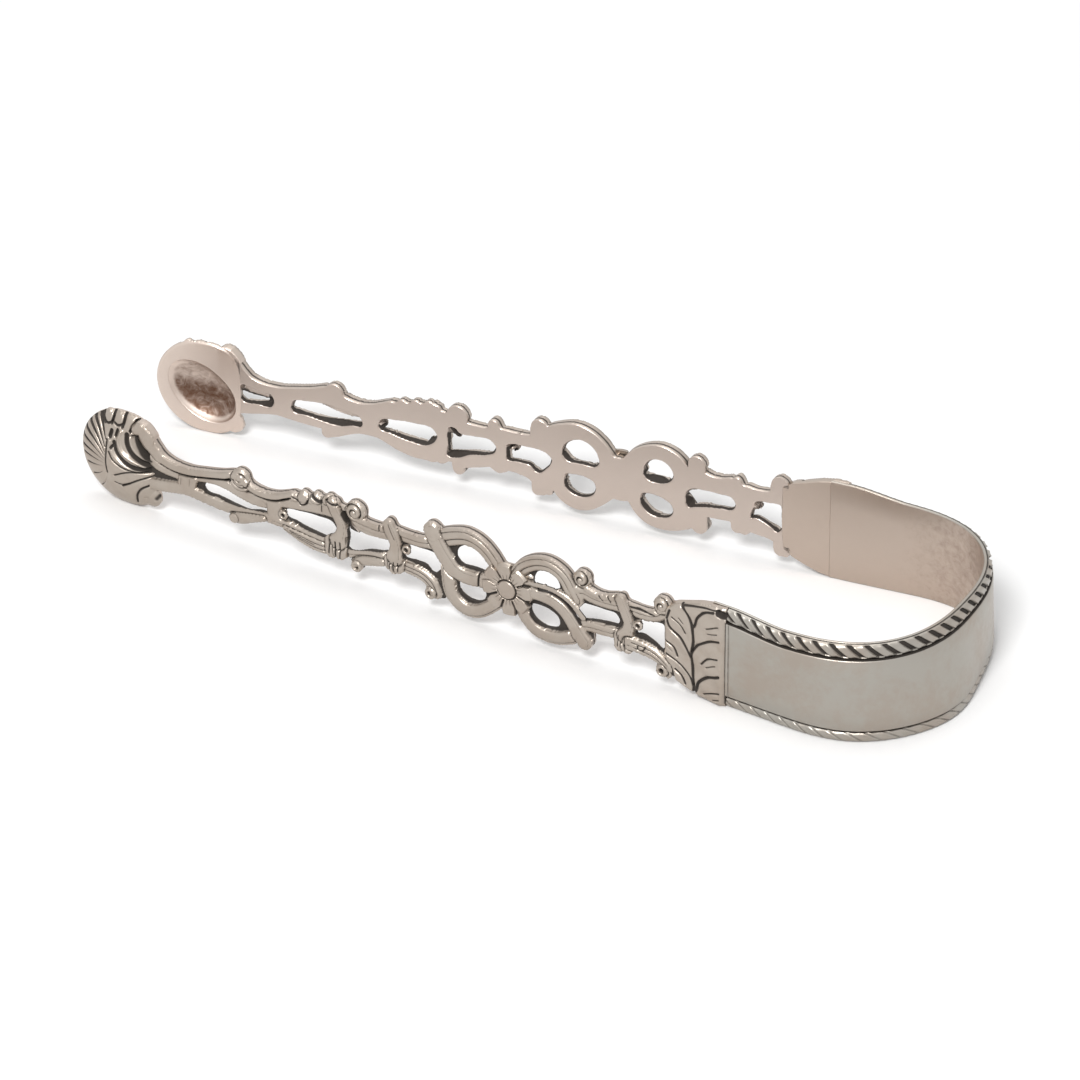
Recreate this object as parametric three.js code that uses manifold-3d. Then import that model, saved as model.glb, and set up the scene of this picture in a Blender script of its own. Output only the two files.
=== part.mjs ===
// Cast openwork sugar tongs: a wrought spring bow, two openwork arms and two shell grips.
// Millimetres, +Z up. The tongs lie on edge, as on a table: X runs from the grips to the bow,
// Z is the width of the strip, and Y = 0 is the mirror plane between the near and the far arm.

import * as THREE from 'three';
import { mergeVertices } from 'three/addons/utils/BufferGeometryUtils.js';
import Module from 'manifold-3d';

const wasm = await Module();
wasm.setup();

// Fit
const SOLDER_GAP = 0.3; // between pieces that are soldered face to face

// Plan of the inner face: its distance from the mirror plane along X
const ARM_HALF_SPAN = 15.64; // at X = 0, beside the flower
const ARM_LEAN = 0.0613; // slope there: the arms close towards the grips
const ARM_BEND = 0.00024; // inward bend, mm per mm squared
const ARM_END_X = 28; // where the arm's plan runs into the bow's
const BOW_BEND_X = 47; // where the bow starts to turn
const BOW_HALF_WIDTH = 18.4; // inner face at the widest point, at the strip's upper edge
const BOW_DEPTH = 17; // from the widest point to the crown
const BOW_FLARE = 1.2; // the foot of each bend stands out by this much more than its upper edge
const BOW_SQUARENESS = 2.45; // 2 is an ellipse, more is squarer

// Joints along the arm
const GRIP_JOINT_X = -56.6; // neck of the shell grip
const SEAM_X = -12.9; // between the scroll casting and the loop casting
const LEAF_JOINT_X = 29.3; // between the loop casting and the leaf terminal
const BOW_JOINT_X = 37.5; // between the leaf terminal and the bow

// Bow strip
const PANEL_HEIGHT = 15.8; // at the leaf terminal
const CROWN_HEIGHT = 14.9; // round the bow
const STRIP_THICKNESS = 1.3;
const LIP_THICKNESS = 0.45; // thin edge behind each rope border
const UPPER_BAND = 2.3; // width of the rope border at the top
const LOWER_BAND = 1.8; // width of the rope border at the bottom
const TONGUE_LENGTH = 2.5; // lap behind the leaf terminal
const TONGUE_THICKNESS = 0.5;
const TONGUE_INSET = 2.6; // from the top and bottom edges, inside the panel between the rope borders
const TONGUE_SETBACK = 0.1; // outwards of the inner face, so that the two don't share a face

// Rope borders
const ROPE_DEPTH = 0.65; // outwards, across the strip's thickness
const ROPE_EDGE_MARGIN = 0.15; // from the strip's edge
const ROPE_PITCH = 2.3; // from one strand to the next
const ROPE_STRAND_RISE = 0.12; // share by which a strand stands proud

// Openwork castings: outward heights above the inner face
const WEB_HEIGHT = 1.0;
const RAIL_HEIGHT = 1.3;
const LOOP_HEIGHT = 1.5;
const STRAP_HEIGHT = 1.7;
const KNOB_HEIGHT = 1.8;
const LEAF_PLATE_HEIGHT = 1.4;
const LEAF_LOBE_HEIGHT = 1.9;

// Flower
const FLOWER_X = 2.6;
const FLOWER_DROP = 0.1; // below the arm's centre line
const FLOWER_RADIUS = 3.5;
const FLOWER_PETALS = 8;
const FLOWER_BOSS_RADIUS = 1.35;
const FLOWER_DEPTH = 1.1;
const FLOWER_BOSS_DEPTH = 1.6;

// Shell grip
const GRIP_LENGTH = 13.2; // from the neck to the tip
const GRIP_CENTRE = 5.7; // from the neck to the widest point
const GRIP_HEIGHT = 14.9; // its lowest point rests on the table, as the bow does
const GRIP_RIM_IN = 0.3; // rim, inwards of the arm's inner face
const GRIP_RIM_OUT = 0.5; // rim, outwards of it
const GRIP_DOME = 2.2; // rise of the outer face over the rim
const GRIP_DOME_FULLNESS = 0.75; // 0.5 is a half ellipse, 1 is a parabola
const GRIP_FLUTES = 13; // rays over the tip side
const GRIP_FLUTE_DEPTH = 0.35;
const HOLLOW_RADIUS = 4.9;
const HOLLOW_DEPTH = 1.9;
const HOLLOW_OFFSET_X = -0.4; // from the widest point
const HOLLOW_DROP = 0.9; // below the centre line

// Fineness of the facets
const MOULDING_STEP = 1.7;
const DISC_SIDES = 10;
const BOW_STEPS = 10;
const ROPE_STEPS_PER_STRAND = 3;
const ROPE_SIDES = 5;
const GRIP_SECTORS = 39;
const GRIP_RINGS = 5;

// A block that reaches past every piece, for cutting slabs
const CUT_REACH = 40;
// Depth to which a moulding is carried below the inner face before the face is cut flat
const BACK_ALLOWANCE = 0.6;

const MID_HEIGHT = PANEL_HEIGHT / 2;

// Solids and booleans

function indexedGeometry(positions, triangles) {
  const geometry = new THREE.BufferGeometry();
  geometry.setAttribute('position', new THREE.Float32BufferAttribute(positions, 3));
  geometry.setIndex(triangles);
  return geometry;
}

// Joins vertices that share a place and drops triangles that have collapsed to a line.
function weld(source) {
  const bare = source.clone();
  bare.deleteAttribute('normal');
  bare.deleteAttribute('uv');
  const welded = mergeVertices(bare, 1e-4);
  const old = welded.index.array;
  const kept = [];
  for (let i = 0; i < old.length; i += 3) {
    const [a, b, c] = [old[i], old[i + 1], old[i + 2]];
    if (a !== b && b !== c && c !== a) kept.push(a, b, c);
  }
  welded.setIndex(kept);
  return welded;
}

function signedVolume(geometry) {
  const position = geometry.attributes.position;
  const index = geometry.index.array;
  const [a, b, c] = [new THREE.Vector3(), new THREE.Vector3(), new THREE.Vector3()];
  let volume = 0;
  for (let i = 0; i < index.length; i += 3) {
    a.fromBufferAttribute(position, index[i]);
    b.fromBufferAttribute(position, index[i + 1]);
    c.fromBufferAttribute(position, index[i + 2]);
    volume += a.dot(b.cross(c)) / 6;
  }
  return volume;
}

// Turns every triangle over if the faces point inwards.
function facingOut(geometry) {
  if (signedVolume(geometry) < 0) {
    const index = geometry.index.array;
    for (let i = 0; i < index.length; i += 3) {
      [index[i + 1], index[i + 2]] = [index[i + 2], index[i + 1]];
    }
  }
  return geometry;
}

function toSolid(source) {
  const geometry = facingOut(weld(source));
  const mesh = new wasm.Mesh({
    numProp: 3,
    vertProperties: new Float32Array(geometry.attributes.position.array),
    triVerts: new Uint32Array(geometry.index.array),
  });
  return new wasm.Manifold(mesh);
}

function toGeometry(solid) {
  const mesh = solid.getMesh();
  return indexedGeometry(Array.from(mesh.vertProperties), Array.from(mesh.triVerts));
}

function joinAll(solids) {
  return solids.reduce((whole, solid) => whole.add(solid));
}

function block(low, high) {
  const size = high.map((value, axis) => value - low[axis]);
  const centre = high.map((value, axis) => (value + low[axis]) / 2);
  return toSolid(new THREE.BoxGeometry(...size).translate(...centre));
}

// Everything between two stations along the arm, outward of the inner face.
function armSlab(fromX, toX) {
  return block([fromX, 0, -CUT_REACH], [toX, CUT_REACH, CUT_REACH]);
}

// Plan of the tongs

function smoothRun(from, to, fromSlope, length, t) {
  const start = fromSlope * length * (t ** 3 - 2 * t ** 2 + t);
  return from + start + (to - from) * (3 * t ** 2 - 2 * t ** 3);
}

function armPlan(x) {
  return ARM_HALF_SPAN + ARM_LEAN * x - ARM_BEND * x * x;
}

// Distance of the inner face from the mirror plane, up to where the bow starts to turn.
function innerFace(x) {
  if (x <= ARM_END_X) return armPlan(x);
  const length = BOW_BEND_X - ARM_END_X;
  const slope = ARM_LEAN - 2 * ARM_BEND * ARM_END_X;
  return smoothRun(armPlan(ARM_END_X), BOW_HALF_WIDTH, slope, length, (x - ARM_END_X) / length);
}

// Height of the strip's upper edge: it narrows from the leaf terminal to the bend.
function stripHeight(x) {
  const t = THREE.MathUtils.clamp((x - BOW_JOINT_X) / (BOW_BEND_X - BOW_JOINT_X), 0, 1);
  return THREE.MathUtils.lerp(PANEL_HEIGHT, CROWN_HEIGHT, t * t * (3 - 2 * t));
}

// The strip leans out towards its foot, fully in each bend and not at all at the leaf or the crown.
function bowFlare(x, up) {
  const share = (x - BOW_JOINT_X) / (BOW_BEND_X + BOW_DEPTH - BOW_JOINT_X);
  const turn = Math.sin(Math.PI * THREE.MathUtils.clamp(share, 0, 1) ** 2);
  return BOW_FLARE * turn * (1 - up / CROWN_HEIGHT);
}

// Plan points of the inner face on the far side, from a station on the arm to the crown.
function halfBowPlan(fromX) {
  const plan = [];
  const straightSteps = Math.max(2, Math.round(BOW_STEPS / 2));
  for (let i = 0; i < straightSteps; i += 1) {
    const x = THREE.MathUtils.lerp(fromX, BOW_BEND_X, i / straightSteps);
    plan.push(new THREE.Vector2(x, innerFace(x)));
  }
  const power = 2 / BOW_SQUARENESS;
  for (let i = 0; i <= BOW_STEPS; i += 1) {
    const angle = (Math.PI / 2) * (1 - i / BOW_STEPS);
    const across = i === BOW_STEPS ? 0 : Math.sin(angle) ** power;
    const along = i === 0 ? 0 : Math.cos(angle) ** power;
    plan.push(new THREE.Vector2(BOW_BEND_X + BOW_DEPTH * along, BOW_HALF_WIDTH * across));
  }
  return plan;
}

// The whole bow from the far arm round to the near arm, with the outward normal at each point.
function bowPlan(fromX) {
  const far = halfBowPlan(fromX);
  const near = far.slice(0, -1).reverse().map((p) => new THREE.Vector2(p.x, -p.y));
  const points = [...far, ...near];
  return points.map((point, i) => {
    const before = points[Math.max(0, i - 1)];
    const after = points[Math.min(points.length - 1, i + 1)];
    const along = after.clone().sub(before).normalize();
    return { point, normal: new THREE.Vector2(-along.y, along.x) };
  });
}

// Carries a section, given as outward and upward distances at each station, along the bow's plan.
function sweepAlongBow(stations, sectionAt) {
  const positions = [];
  let sides = 0;
  stations.forEach((station, i) => {
    const section = sectionAt(station.point.x, i);
    sides = section.length;
    for (const [out, up] of section) {
      const place = station.point.clone().addScaledVector(station.normal, out + bowFlare(station.point.x, up));
      positions.push(place.x, place.y, up);
    }
  });
  return indexedGeometry(positions, ringTriangles(stations.length, sides));
}

// Triangles that skin a stack of rings and close both ends.
function ringTriangles(rings, sides) {
  const triangles = [];
  for (let ring = 0; ring + 1 < rings; ring += 1) {
    for (let side = 0; side < sides; side += 1) {
      const next = (side + 1) % sides;
      const [a, b] = [ring * sides + side, ring * sides + next];
      const [c, d] = [a + sides, b + sides];
      triangles.push(a, b, d, a, d, c);
    }
  }
  const last = (rings - 1) * sides;
  for (let side = 1; side + 1 < sides; side += 1) {
    triangles.push(0, side + 1, side, last, last + side, last + side + 1);
  }
  return triangles;
}

// Closes the ends of an open stepped section, which a simple fan can't.
function steppedSolid(stations, sections) {
  return joinAll(sections.map((sectionAt) => toSolid(sweepAlongBow(stations, sectionAt))));
}

// Bow

function rectangle(outFrom, outTo, upFrom, upTo) {
  return [[outFrom, upFrom], [outTo, upFrom], [outTo, upTo], [outFrom, upTo]];
}

function bowSpring() {
  const strip = steppedSolid(bowPlan(BOW_JOINT_X), [
    (x) => rectangle(0, LIP_THICKNESS, 0, stripHeight(x)),
    // the panel starts inside the lip, so that the two share no face
    (x) => rectangle(LIP_THICKNESS / 2, STRIP_THICKNESS, LOWER_BAND, stripHeight(x) - UPPER_BAND),
  ]);
  const top = PANEL_HEIGHT - TONGUE_INSET;
  const tongue = toSolid(
    sweepAlongBow(
      bowPlan(BOW_JOINT_X - TONGUE_LENGTH),
      () => rectangle(TONGUE_SETBACK, TONGUE_THICKNESS, TONGUE_INSET, top),
    ),
  );
  const lap = [1, -1].map((side) => {
    const reach = side * CUT_REACH;
    const low = [BOW_JOINT_X - CUT_REACH, Math.min(0, reach), -CUT_REACH];
    return block(low, [BOW_JOINT_X + LIP_THICKNESS, Math.max(0, reach), CUT_REACH]);
  });
  return toGeometry(strip.add(tongue.intersect(joinAll(lap))));
}

// Points at equal distances along the bow, so that the rope's lay is even.
function evenStations(fromX, count) {
  const outline = bowPlan(fromX).map((station) => station.point);
  const curve = new THREE.CatmullRomCurve3(outline.map((p) => new THREE.Vector3(p.x, p.y, 0)), false, 'centripetal');
  const stations = [];
  for (let i = 0; i <= count; i += 1) {
    const point = curve.getPointAt(i / count);
    const along = curve.getTangentAt(i / count);
    stations.push({ point: new THREE.Vector2(point.x, point.y), normal: new THREE.Vector2(-along.y, along.x) });
  }
  return { stations, length: curve.getLength() };
}

// Two strands laid round each other: an oval section whose two swellings turn along the bow.
function ropeBorder(centreAt, halfHeight) {
  const startX = BOW_JOINT_X + SOLDER_GAP;
  const { length } = evenStations(startX, 1);
  const strands = Math.round(length / ROPE_PITCH);
  const { stations } = evenStations(startX, strands * ROPE_STEPS_PER_STRAND);
  const outCentre = LIP_THICKNESS + SOLDER_GAP + (ROPE_DEPTH / 2) * (1 + ROPE_STRAND_RISE);
  return sweepAlongBow(stations, (x, i) => {
    const lay = (2 * Math.PI * i) / ROPE_STEPS_PER_STRAND;
    const section = [];
    for (let side = 0; side < ROPE_SIDES; side += 1) {
      const angle = (2 * Math.PI * side) / ROPE_SIDES;
      const swell = 1 + ROPE_STRAND_RISE * Math.cos(2 * angle - lay);
      const out = outCentre + (ROPE_DEPTH / 2) * swell * Math.cos(angle);
      const up = centreAt(x) + (halfHeight / (1 + ROPE_STRAND_RISE)) * swell * Math.sin(angle);
      section.push([out, up]);
    }
    return section;
  });
}

function ropeHalfHeight(band) {
  return (band - SOLDER_GAP - ROPE_EDGE_MARGIN) / 2;
}

function upperRope() {
  const half = ropeHalfHeight(UPPER_BAND);
  return ropeBorder((x) => stripHeight(x) - ROPE_EDGE_MARGIN - half, half);
}

function lowerRope() {
  const half = ropeHalfHeight(LOWER_BAND);
  return ropeBorder(() => ROPE_EDGE_MARGIN + half, half);
}

// Openwork, drawn flat: X along the arm, Y outwards from the inner face, Z from the centre line

function valueAlong(list, t) {
  const place = t * (list.length - 1);
  const from = Math.min(Math.floor(place), list.length - 2);
  return THREE.MathUtils.lerp(list[from], list[from + 1], place - from);
}

// A moulding with a chamfered front along a smooth curve; widths are spread evenly over its length.
function moulding(points, widths, height) {
  const curve = new THREE.CatmullRomCurve3(points.map(([x, z]) => new THREE.Vector3(x, 0, z)), false, 'centripetal');
  const steps = Math.max(2, Math.round(curve.getLength() / MOULDING_STEP));
  const shoulder = 0.55;
  const section = [[-1, -BACK_ALLOWANCE], [-1, shoulder * height], [-shoulder, height],
    [shoulder, height], [1, shoulder * height], [1, -BACK_ALLOWANCE]];
  const positions = [];
  for (let i = 0; i <= steps; i += 1) {
    const t = i / steps;
    const centre = curve.getPoint(t);
    const along = curve.getTangent(t);
    const half = valueAlong(widths, t) / 2;
    for (const [across, out] of section) {
      positions.push(centre.x - along.z * half * across, out, centre.z + along.x * half * across);
    }
  }
  return toSolid(indexedGeometry(positions, ringTriangles(steps + 1, section.length)));
}

// A round knob, lobe or scroll eye with a chamfered front.
function disc(x, z, radius, height) {
  const chamfer = 0.4 * radius;
  const profile = [[0, -BACK_ALLOWANCE], [radius, -BACK_ALLOWANCE], [radius, height - chamfer],
    [radius - chamfer, height], [0, height]];
  const points = profile.map(([r, out]) => new THREE.Vector2(r, out));
  return toSolid(new THREE.LatheGeometry(points, DISC_SIDES).translate(x, 0, z));
}

// From the shell's neck to the seam: rails above and below, straps, lobes and curls.
function scrollOpenwork() {
  const neck = GRIP_JOINT_X - 1;
  return [
    moulding([[neck, 3.4], [-56, 2.5], [-54.6, 1.85], [-53, 1.5], [-51, 1.45], [-48, 2.05], [-45, 2.8], [-43.4, 3.4], [-42.2, 3.5]],
      [3.2, 1.6, 1.1, 1.1, 1.2], STRAP_HEIGHT),
    moulding([[-51.5, 0.7], [-49.5, 0.9], [-47, 1.6], [-44.5, 1.9], [-42, 1.8], [-40, 1.5], [-37.5, 1.2]],
      [1.1, 1.1], WEB_HEIGHT),
    moulding([[-51.2, -1.8], [-51, 1.2]], [2.6, 2.4], WEB_HEIGHT),
    disc(-41.9, 3.3, 1.15, KNOB_HEIGHT),
    moulding([[-41.4, 3], [-40, 2.2], [-38.2, 1.75], [-36, 2.1], [-34, 2.75], [-32, 3.4], [-30.4, 3.8]],
      [1.1, 1], STRAP_HEIGHT),
    moulding([[-36.4, -1.6], [-36.4, 1.8]], [2.5, 2.5], WEB_HEIGHT),
    moulding([[-37, 1.2], [-34, 1.9], [-31, 2.4], [-28, 2.8], [-25, 2.8]], [1.9, 1.9], WEB_HEIGHT),
    disc(-31.2, 3.6, 1, RAIL_HEIGHT),
    disc(-29.2, 3.9, 1.1, LOOP_HEIGHT),
    disc(-27.2, 4.2, 1.15, LOOP_HEIGHT),
    disc(-25.3, 4.4, 1.1, STRAP_HEIGHT),
    moulding([[-25.3, 4.6], [-24.9, 3.2], [-24.7, 1.6], [-24.9, 0.1], [-25.6, -1.9], [-26, -3.6], [-25.9, -4.7]],
      [1.3, 1.3, 1.3, 2, 2.8, 3.2, 2.4], STRAP_HEIGHT),
    moulding([[-25, 3.4], [-22.4, 3]], [1.6, 1.6], WEB_HEIGHT),
    disc(-22.6, 4, 1.5, KNOB_HEIGHT),
    moulding([[-24.9, 0.1], [-23.7, 0], [-22.8, 0.5]], [0.9, 0.7], RAIL_HEIGHT),
    moulding([[-22.6, 2.9], [-21, 2.6], [-19.5, 2.4], [-17.5, 2.6], [-15.8, 2.9], [-14, 2.75], [-12.5, 2.7], [-10.4, 3], [-8.8, 3.2]],
      [1.8, 1.8, 1.6, 1.6], RAIL_HEIGHT),
    disc(-18, 3.1, 0.8, LOOP_HEIGHT),
    disc(-16.2, 3.5, 1, STRAP_HEIGHT),
    moulding([[-16.7, 3.8], [-16.1, 2.6], [-15.6, 1.1], [-15.9, -0.5], [-16.5, -2], [-16.6, -3.6]],
      [1.8, 1.5, 1.4, 1.8, 2.4, 2.4], STRAP_HEIGHT),
    moulding([[neck, -2.7], [-55, -2.3], [-53, -1.9], [-51, -1.6], [-49, -1.8], [-46, -2.1], [-43, -2.2], [-40, -1.9],
      [-37, -1.5], [-34, -1.6], [-31, -1.9], [-28, -2.1], [-25.8, -2.1]], [1.6, 1.5], RAIL_HEIGHT),
    moulding([[-43.4, -3.7], [-42, -3.5], [-40.3, -2.9], [-38.2, -2.2]], [1.2, 1.7, 1.4, 0.9], LOOP_HEIGHT),
    moulding([[-34.4, -2.2], [-31.5, -3], [-29.5, -3.4], [-26.8, -3.7]], [0.7, 1.6, 2, 1.8], RAIL_HEIGHT),
    moulding([[-24.9, -2.6], [-22, -2.3], [-20, -1.9], [-17.5, -1.7], [-16.2, -1.8]], [1.6, 1.6], RAIL_HEIGHT),
    moulding([[-17.6, -2.5], [-20.3, -3.1], [-21.8, -3.6], [-22.8, -4.3], [-22.5, -5]], [0.8, 1.3, 1.4, 1.1, 0.8],
      RAIL_HEIGHT),
  ];
}

// From the seam to the leaf: the S straps, two upper and two lower loops, and the scrolls beside the leaf.
function loopOpenwork() {
  return [
    moulding([[-16.2, -1.9], [-13, -1.8], [-11, -2.3], [-9.8, -3.3], [-9.3, -4.5], [-9.6, -5.5]],
      [1.6, 1.5, 1.5, 1.4, 1], RAIL_HEIGHT),
    moulding([[-12.4, -2.6], [-11.2, -3.5], [-10.3, -4.5], [-10, -5.5]], [0.6, 1, 1, 0.9], RAIL_HEIGHT),
    disc(-9.6, 5, 1.2, KNOB_HEIGHT),
    moulding([[-9.7, 5], [-9.2, 3.9], [-8.3, 2.6], [-7.3, 1.3], [-6, 0.3], [-4.2, -0.2], [-2.4, -0.1], [0.4, 0.1]],
      [2.4, 2.3, 2, 1.8, 1.7, 1.7], STRAP_HEIGHT),
    moulding([[-9, -3.6], [-8, -3.2]], [1.4, 1.4], WEB_HEIGHT),
    moulding([[-8.3, 4.9], [-6.4, 5.6], [-4, 6.05], [-2.2, 5.6], [-0.6, 4.5], [0.5, 3.2], [1.3, 2.1]], [2, 2],
      LOOP_HEIGHT),
    moulding([[-7.4, 0.6], [-7.2, -2], [-6.7, -4.1], [-5.4, -5.4], [-3.8, -5.9], [-2.1, -5.5], [-0.5, -4.3], [1, -2.9]],
      [2.2, 2.5, 2.2, 2.1, 1.9], LOOP_HEIGHT),
    disc(FLOWER_X, -FLOWER_DROP, FLOWER_RADIUS, WEB_HEIGHT),
    moulding([[3.6, 2.4], [5, 4.3], [7.2, 5.6], [9.2, 5.95], [11, 5.3], [12.2, 4.1], [12.8, 2.9], [13.6, 1.6]],
      [2, 2, 2, 2.3, 2.2], LOOP_HEIGHT),
    moulding([[5, 0.2], [8, 0.4], [10, 0.2], [11.8, -0.8], [13.2, -2.4], [14.3, -4.1], [14.9, -5]],
      [1.7, 1.8, 2, 2.3, 2.4], STRAP_HEIGHT),
    moulding([[6, 1.6], [9, 1.6], [11.5, 1.2], [13.4, 0.1], [14.9, -1.4]], [1.2, 1.2], WEB_HEIGHT),
    moulding([[4.6, -2], [5.7, -4], [7.2, -5.2], [9, -5.55], [10.8, -5.4], [13, -4.7]], [2, 2.2, 2.3, 2.1], LOOP_HEIGHT),
    disc(14.8, 4.8, 1.2, KNOB_HEIGHT),
    moulding([[14.7, 4.4], [14.3, 3], [13.6, 1.9]], [1.6, 1.6], LOOP_HEIGHT),
    moulding([[14.2, 3.2], [16.2, 2.7], [18, 2.5], [20, 2.7], [22, 2.9], [24, 2.7], [26.2, 3.2], [27.4, 4]], [1.6, 1.6],
      RAIL_HEIGHT),
    disc(21.6, 3.5, 0.9, STRAP_HEIGHT),
    moulding([[21.5, 4], [21.4, 2.6], [22.1, 1], [22, -0.4], [21.5, -1.9], [21.3, -3.5], [21.4, -4.5]],
      [1.5, 1.7, 1.8, 2.4, 2.8, 2.2], STRAP_HEIGHT),
    moulding([[14, -2.2], [16, -1.8], [18, -1.7], [20.5, -1.7], [22, -1.7]], [1.9, 1.9], RAIL_HEIGHT),
    moulding([[21.8, -2.4], [24.2, -2.3], [26, -2.6], [27.4, -3.4], [28.3, -4.6], [28.4, -6]], [2.4, 2.6, 2.2, 1.7, 1.3],
      LOOP_HEIGHT),
    disc(27.5, -6, 0.9, RAIL_HEIGHT),
    disc(27.6, 5, 1.3, KNOB_HEIGHT),
  ];
}

// The acanthus terminal: a shouldered plate with leaf lobes on both sides of a curved spine.
function leafOpenwork() {
  const half = MID_HEIGHT;
  const plate = new THREE.Shape();
  plate.moveTo(27.7, 0.5);
  plate.quadraticCurveTo(27.6, 3.4, 28.4, half - 2.3);
  plate.splineThru([[29.3, half - 1.75], [31.2, half - 1.15], [33.2, half - 0.5], [35.2, half - 0.12],
    [BOW_JOINT_X, half]].map(([x, z]) => new THREE.Vector2(x, z)));
  plate.lineTo(BOW_JOINT_X, -half);
  plate.splineThru([[35.2, -half + 0.12], [33.2, -half + 0.5], [31.2, -half + 1.2], [29.3, -half + 2]]
    .map(([x, z]) => new THREE.Vector2(x, z)));
  plate.quadraticCurveTo(28, -2.6, 27.7, 0.5);
  const slab = new THREE.ExtrudeGeometry(plate, {
    depth: LEAF_PLATE_HEIGHT + BACK_ALLOWANCE, bevelEnabled: false, curveSegments: 5,
  });
  // the shape's second axis becomes Z and its depth runs outwards
  slab.rotateX(Math.PI / 2).translate(0, LEAF_PLATE_HEIGHT, 0);

  const end = BOW_JOINT_X - 0.6;
  const bowSide = [
    [[32.9, 4.2], [34, 5.6], [end, 6.3]],
    [[32.8, 1.8], [34.4, 3.3], [end, 3.9]],
    [[32.8, -1.3], [34.2, 0.6], [end, 1.2]],
    [[32.9, -4.4], [34.4, -2.4], [end, -1.6]],
    [[33.2, -6.4], [34.6, -5.4], [end, -4.9]],
  ];
  const armSide = [
    [[31.6, 4.5], [30.8, 5.3], [29.8, 5.6]],
    [[32, 2.2], [30.6, 3.6], [29.2, 4.2]],
    [[32, -0.6], [30.4, 1.2], [28.7, 2.2]],
    [[32.2, -3.2], [30.6, -1.4], [28.8, -0.6]],
    [[32.4, -5.2], [31, -4], [29.4, -3.2]],
  ];
  const lobes = [...bowSide, ...armSide].map((path) => moulding(path, [1.3, 2.1, 1.9], LEAF_LOBE_HEIGHT));
  return [toSolid(slab), ...lobes];
}

// The full openwork of one arm, still flat, with the seat for the flower sunk into it.
function armOpenwork() {
  const whole = joinAll([...scrollOpenwork(), ...loopOpenwork(), ...leafOpenwork()]);
  const seat = new THREE.CylinderGeometry(FLOWER_RADIUS + SOLDER_GAP, FLOWER_RADIUS + SOLDER_GAP, CUT_REACH,
    2 * DISC_SIDES);
  seat.translate(FLOWER_X, WEB_HEIGHT + CUT_REACH / 2, -FLOWER_DROP);
  return whole.subtract(toSolid(seat));
}

function scrollCasting(openwork) {
  return openwork.intersect(armSlab(GRIP_JOINT_X + SOLDER_GAP / 2, SEAM_X - SOLDER_GAP / 2));
}

function loopCasting(openwork) {
  return openwork.intersect(armSlab(SEAM_X + SOLDER_GAP / 2, LEAF_JOINT_X - SOLDER_GAP / 2));
}

// The leaf terminal has a pocket behind it for the tongue of the bow.
function leafTerminal(openwork) {
  const leaf = openwork.intersect(armSlab(LEAF_JOINT_X + SOLDER_GAP / 2, BOW_JOINT_X - SOLDER_GAP));
  const reach = MID_HEIGHT - TONGUE_INSET + SOLDER_GAP;
  const pocket = block(
    [BOW_JOINT_X - TONGUE_LENGTH - SOLDER_GAP, -CUT_REACH, -reach],
    [BOW_JOINT_X + CUT_REACH, TONGUE_THICKNESS + SOLDER_GAP, reach],
  );
  return leaf.subtract(pocket);
}

// Eight petals round a boss, on a flat back.
function flowerBoss() {
  const back = WEB_HEIGHT + SOLDER_GAP;
  const petalReach = FLOWER_RADIUS * 0.36;
  const petalPlace = FLOWER_RADIUS - petalReach;
  const petalWidth = petalPlace * Math.tan(Math.PI / FLOWER_PETALS) * 1.05;
  const pieces = [];
  for (let i = 0; i < FLOWER_PETALS; i += 1) {
    const petal = new THREE.SphereGeometry(1, 8, 5).scale(petalReach, FLOWER_DEPTH, petalWidth);
    petal.translate(petalPlace, 0, 0).rotateY((2 * Math.PI * (i + 0.5)) / FLOWER_PETALS);
    pieces.push(toSolid(petal));
  }
  const ground = new THREE.CylinderGeometry(petalPlace, petalPlace, FLOWER_DEPTH, FLOWER_PETALS * 2);
  pieces.push(toSolid(ground));
  pieces.push(toSolid(new THREE.SphereGeometry(1, 12, 8).scale(FLOWER_BOSS_RADIUS, FLOWER_BOSS_DEPTH, FLOWER_BOSS_RADIUS)));
  const whole = joinAll(pieces).intersect(armSlab(-CUT_REACH, CUT_REACH));
  return whole.translate([FLOWER_X, back, -FLOWER_DROP]);
}

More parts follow.
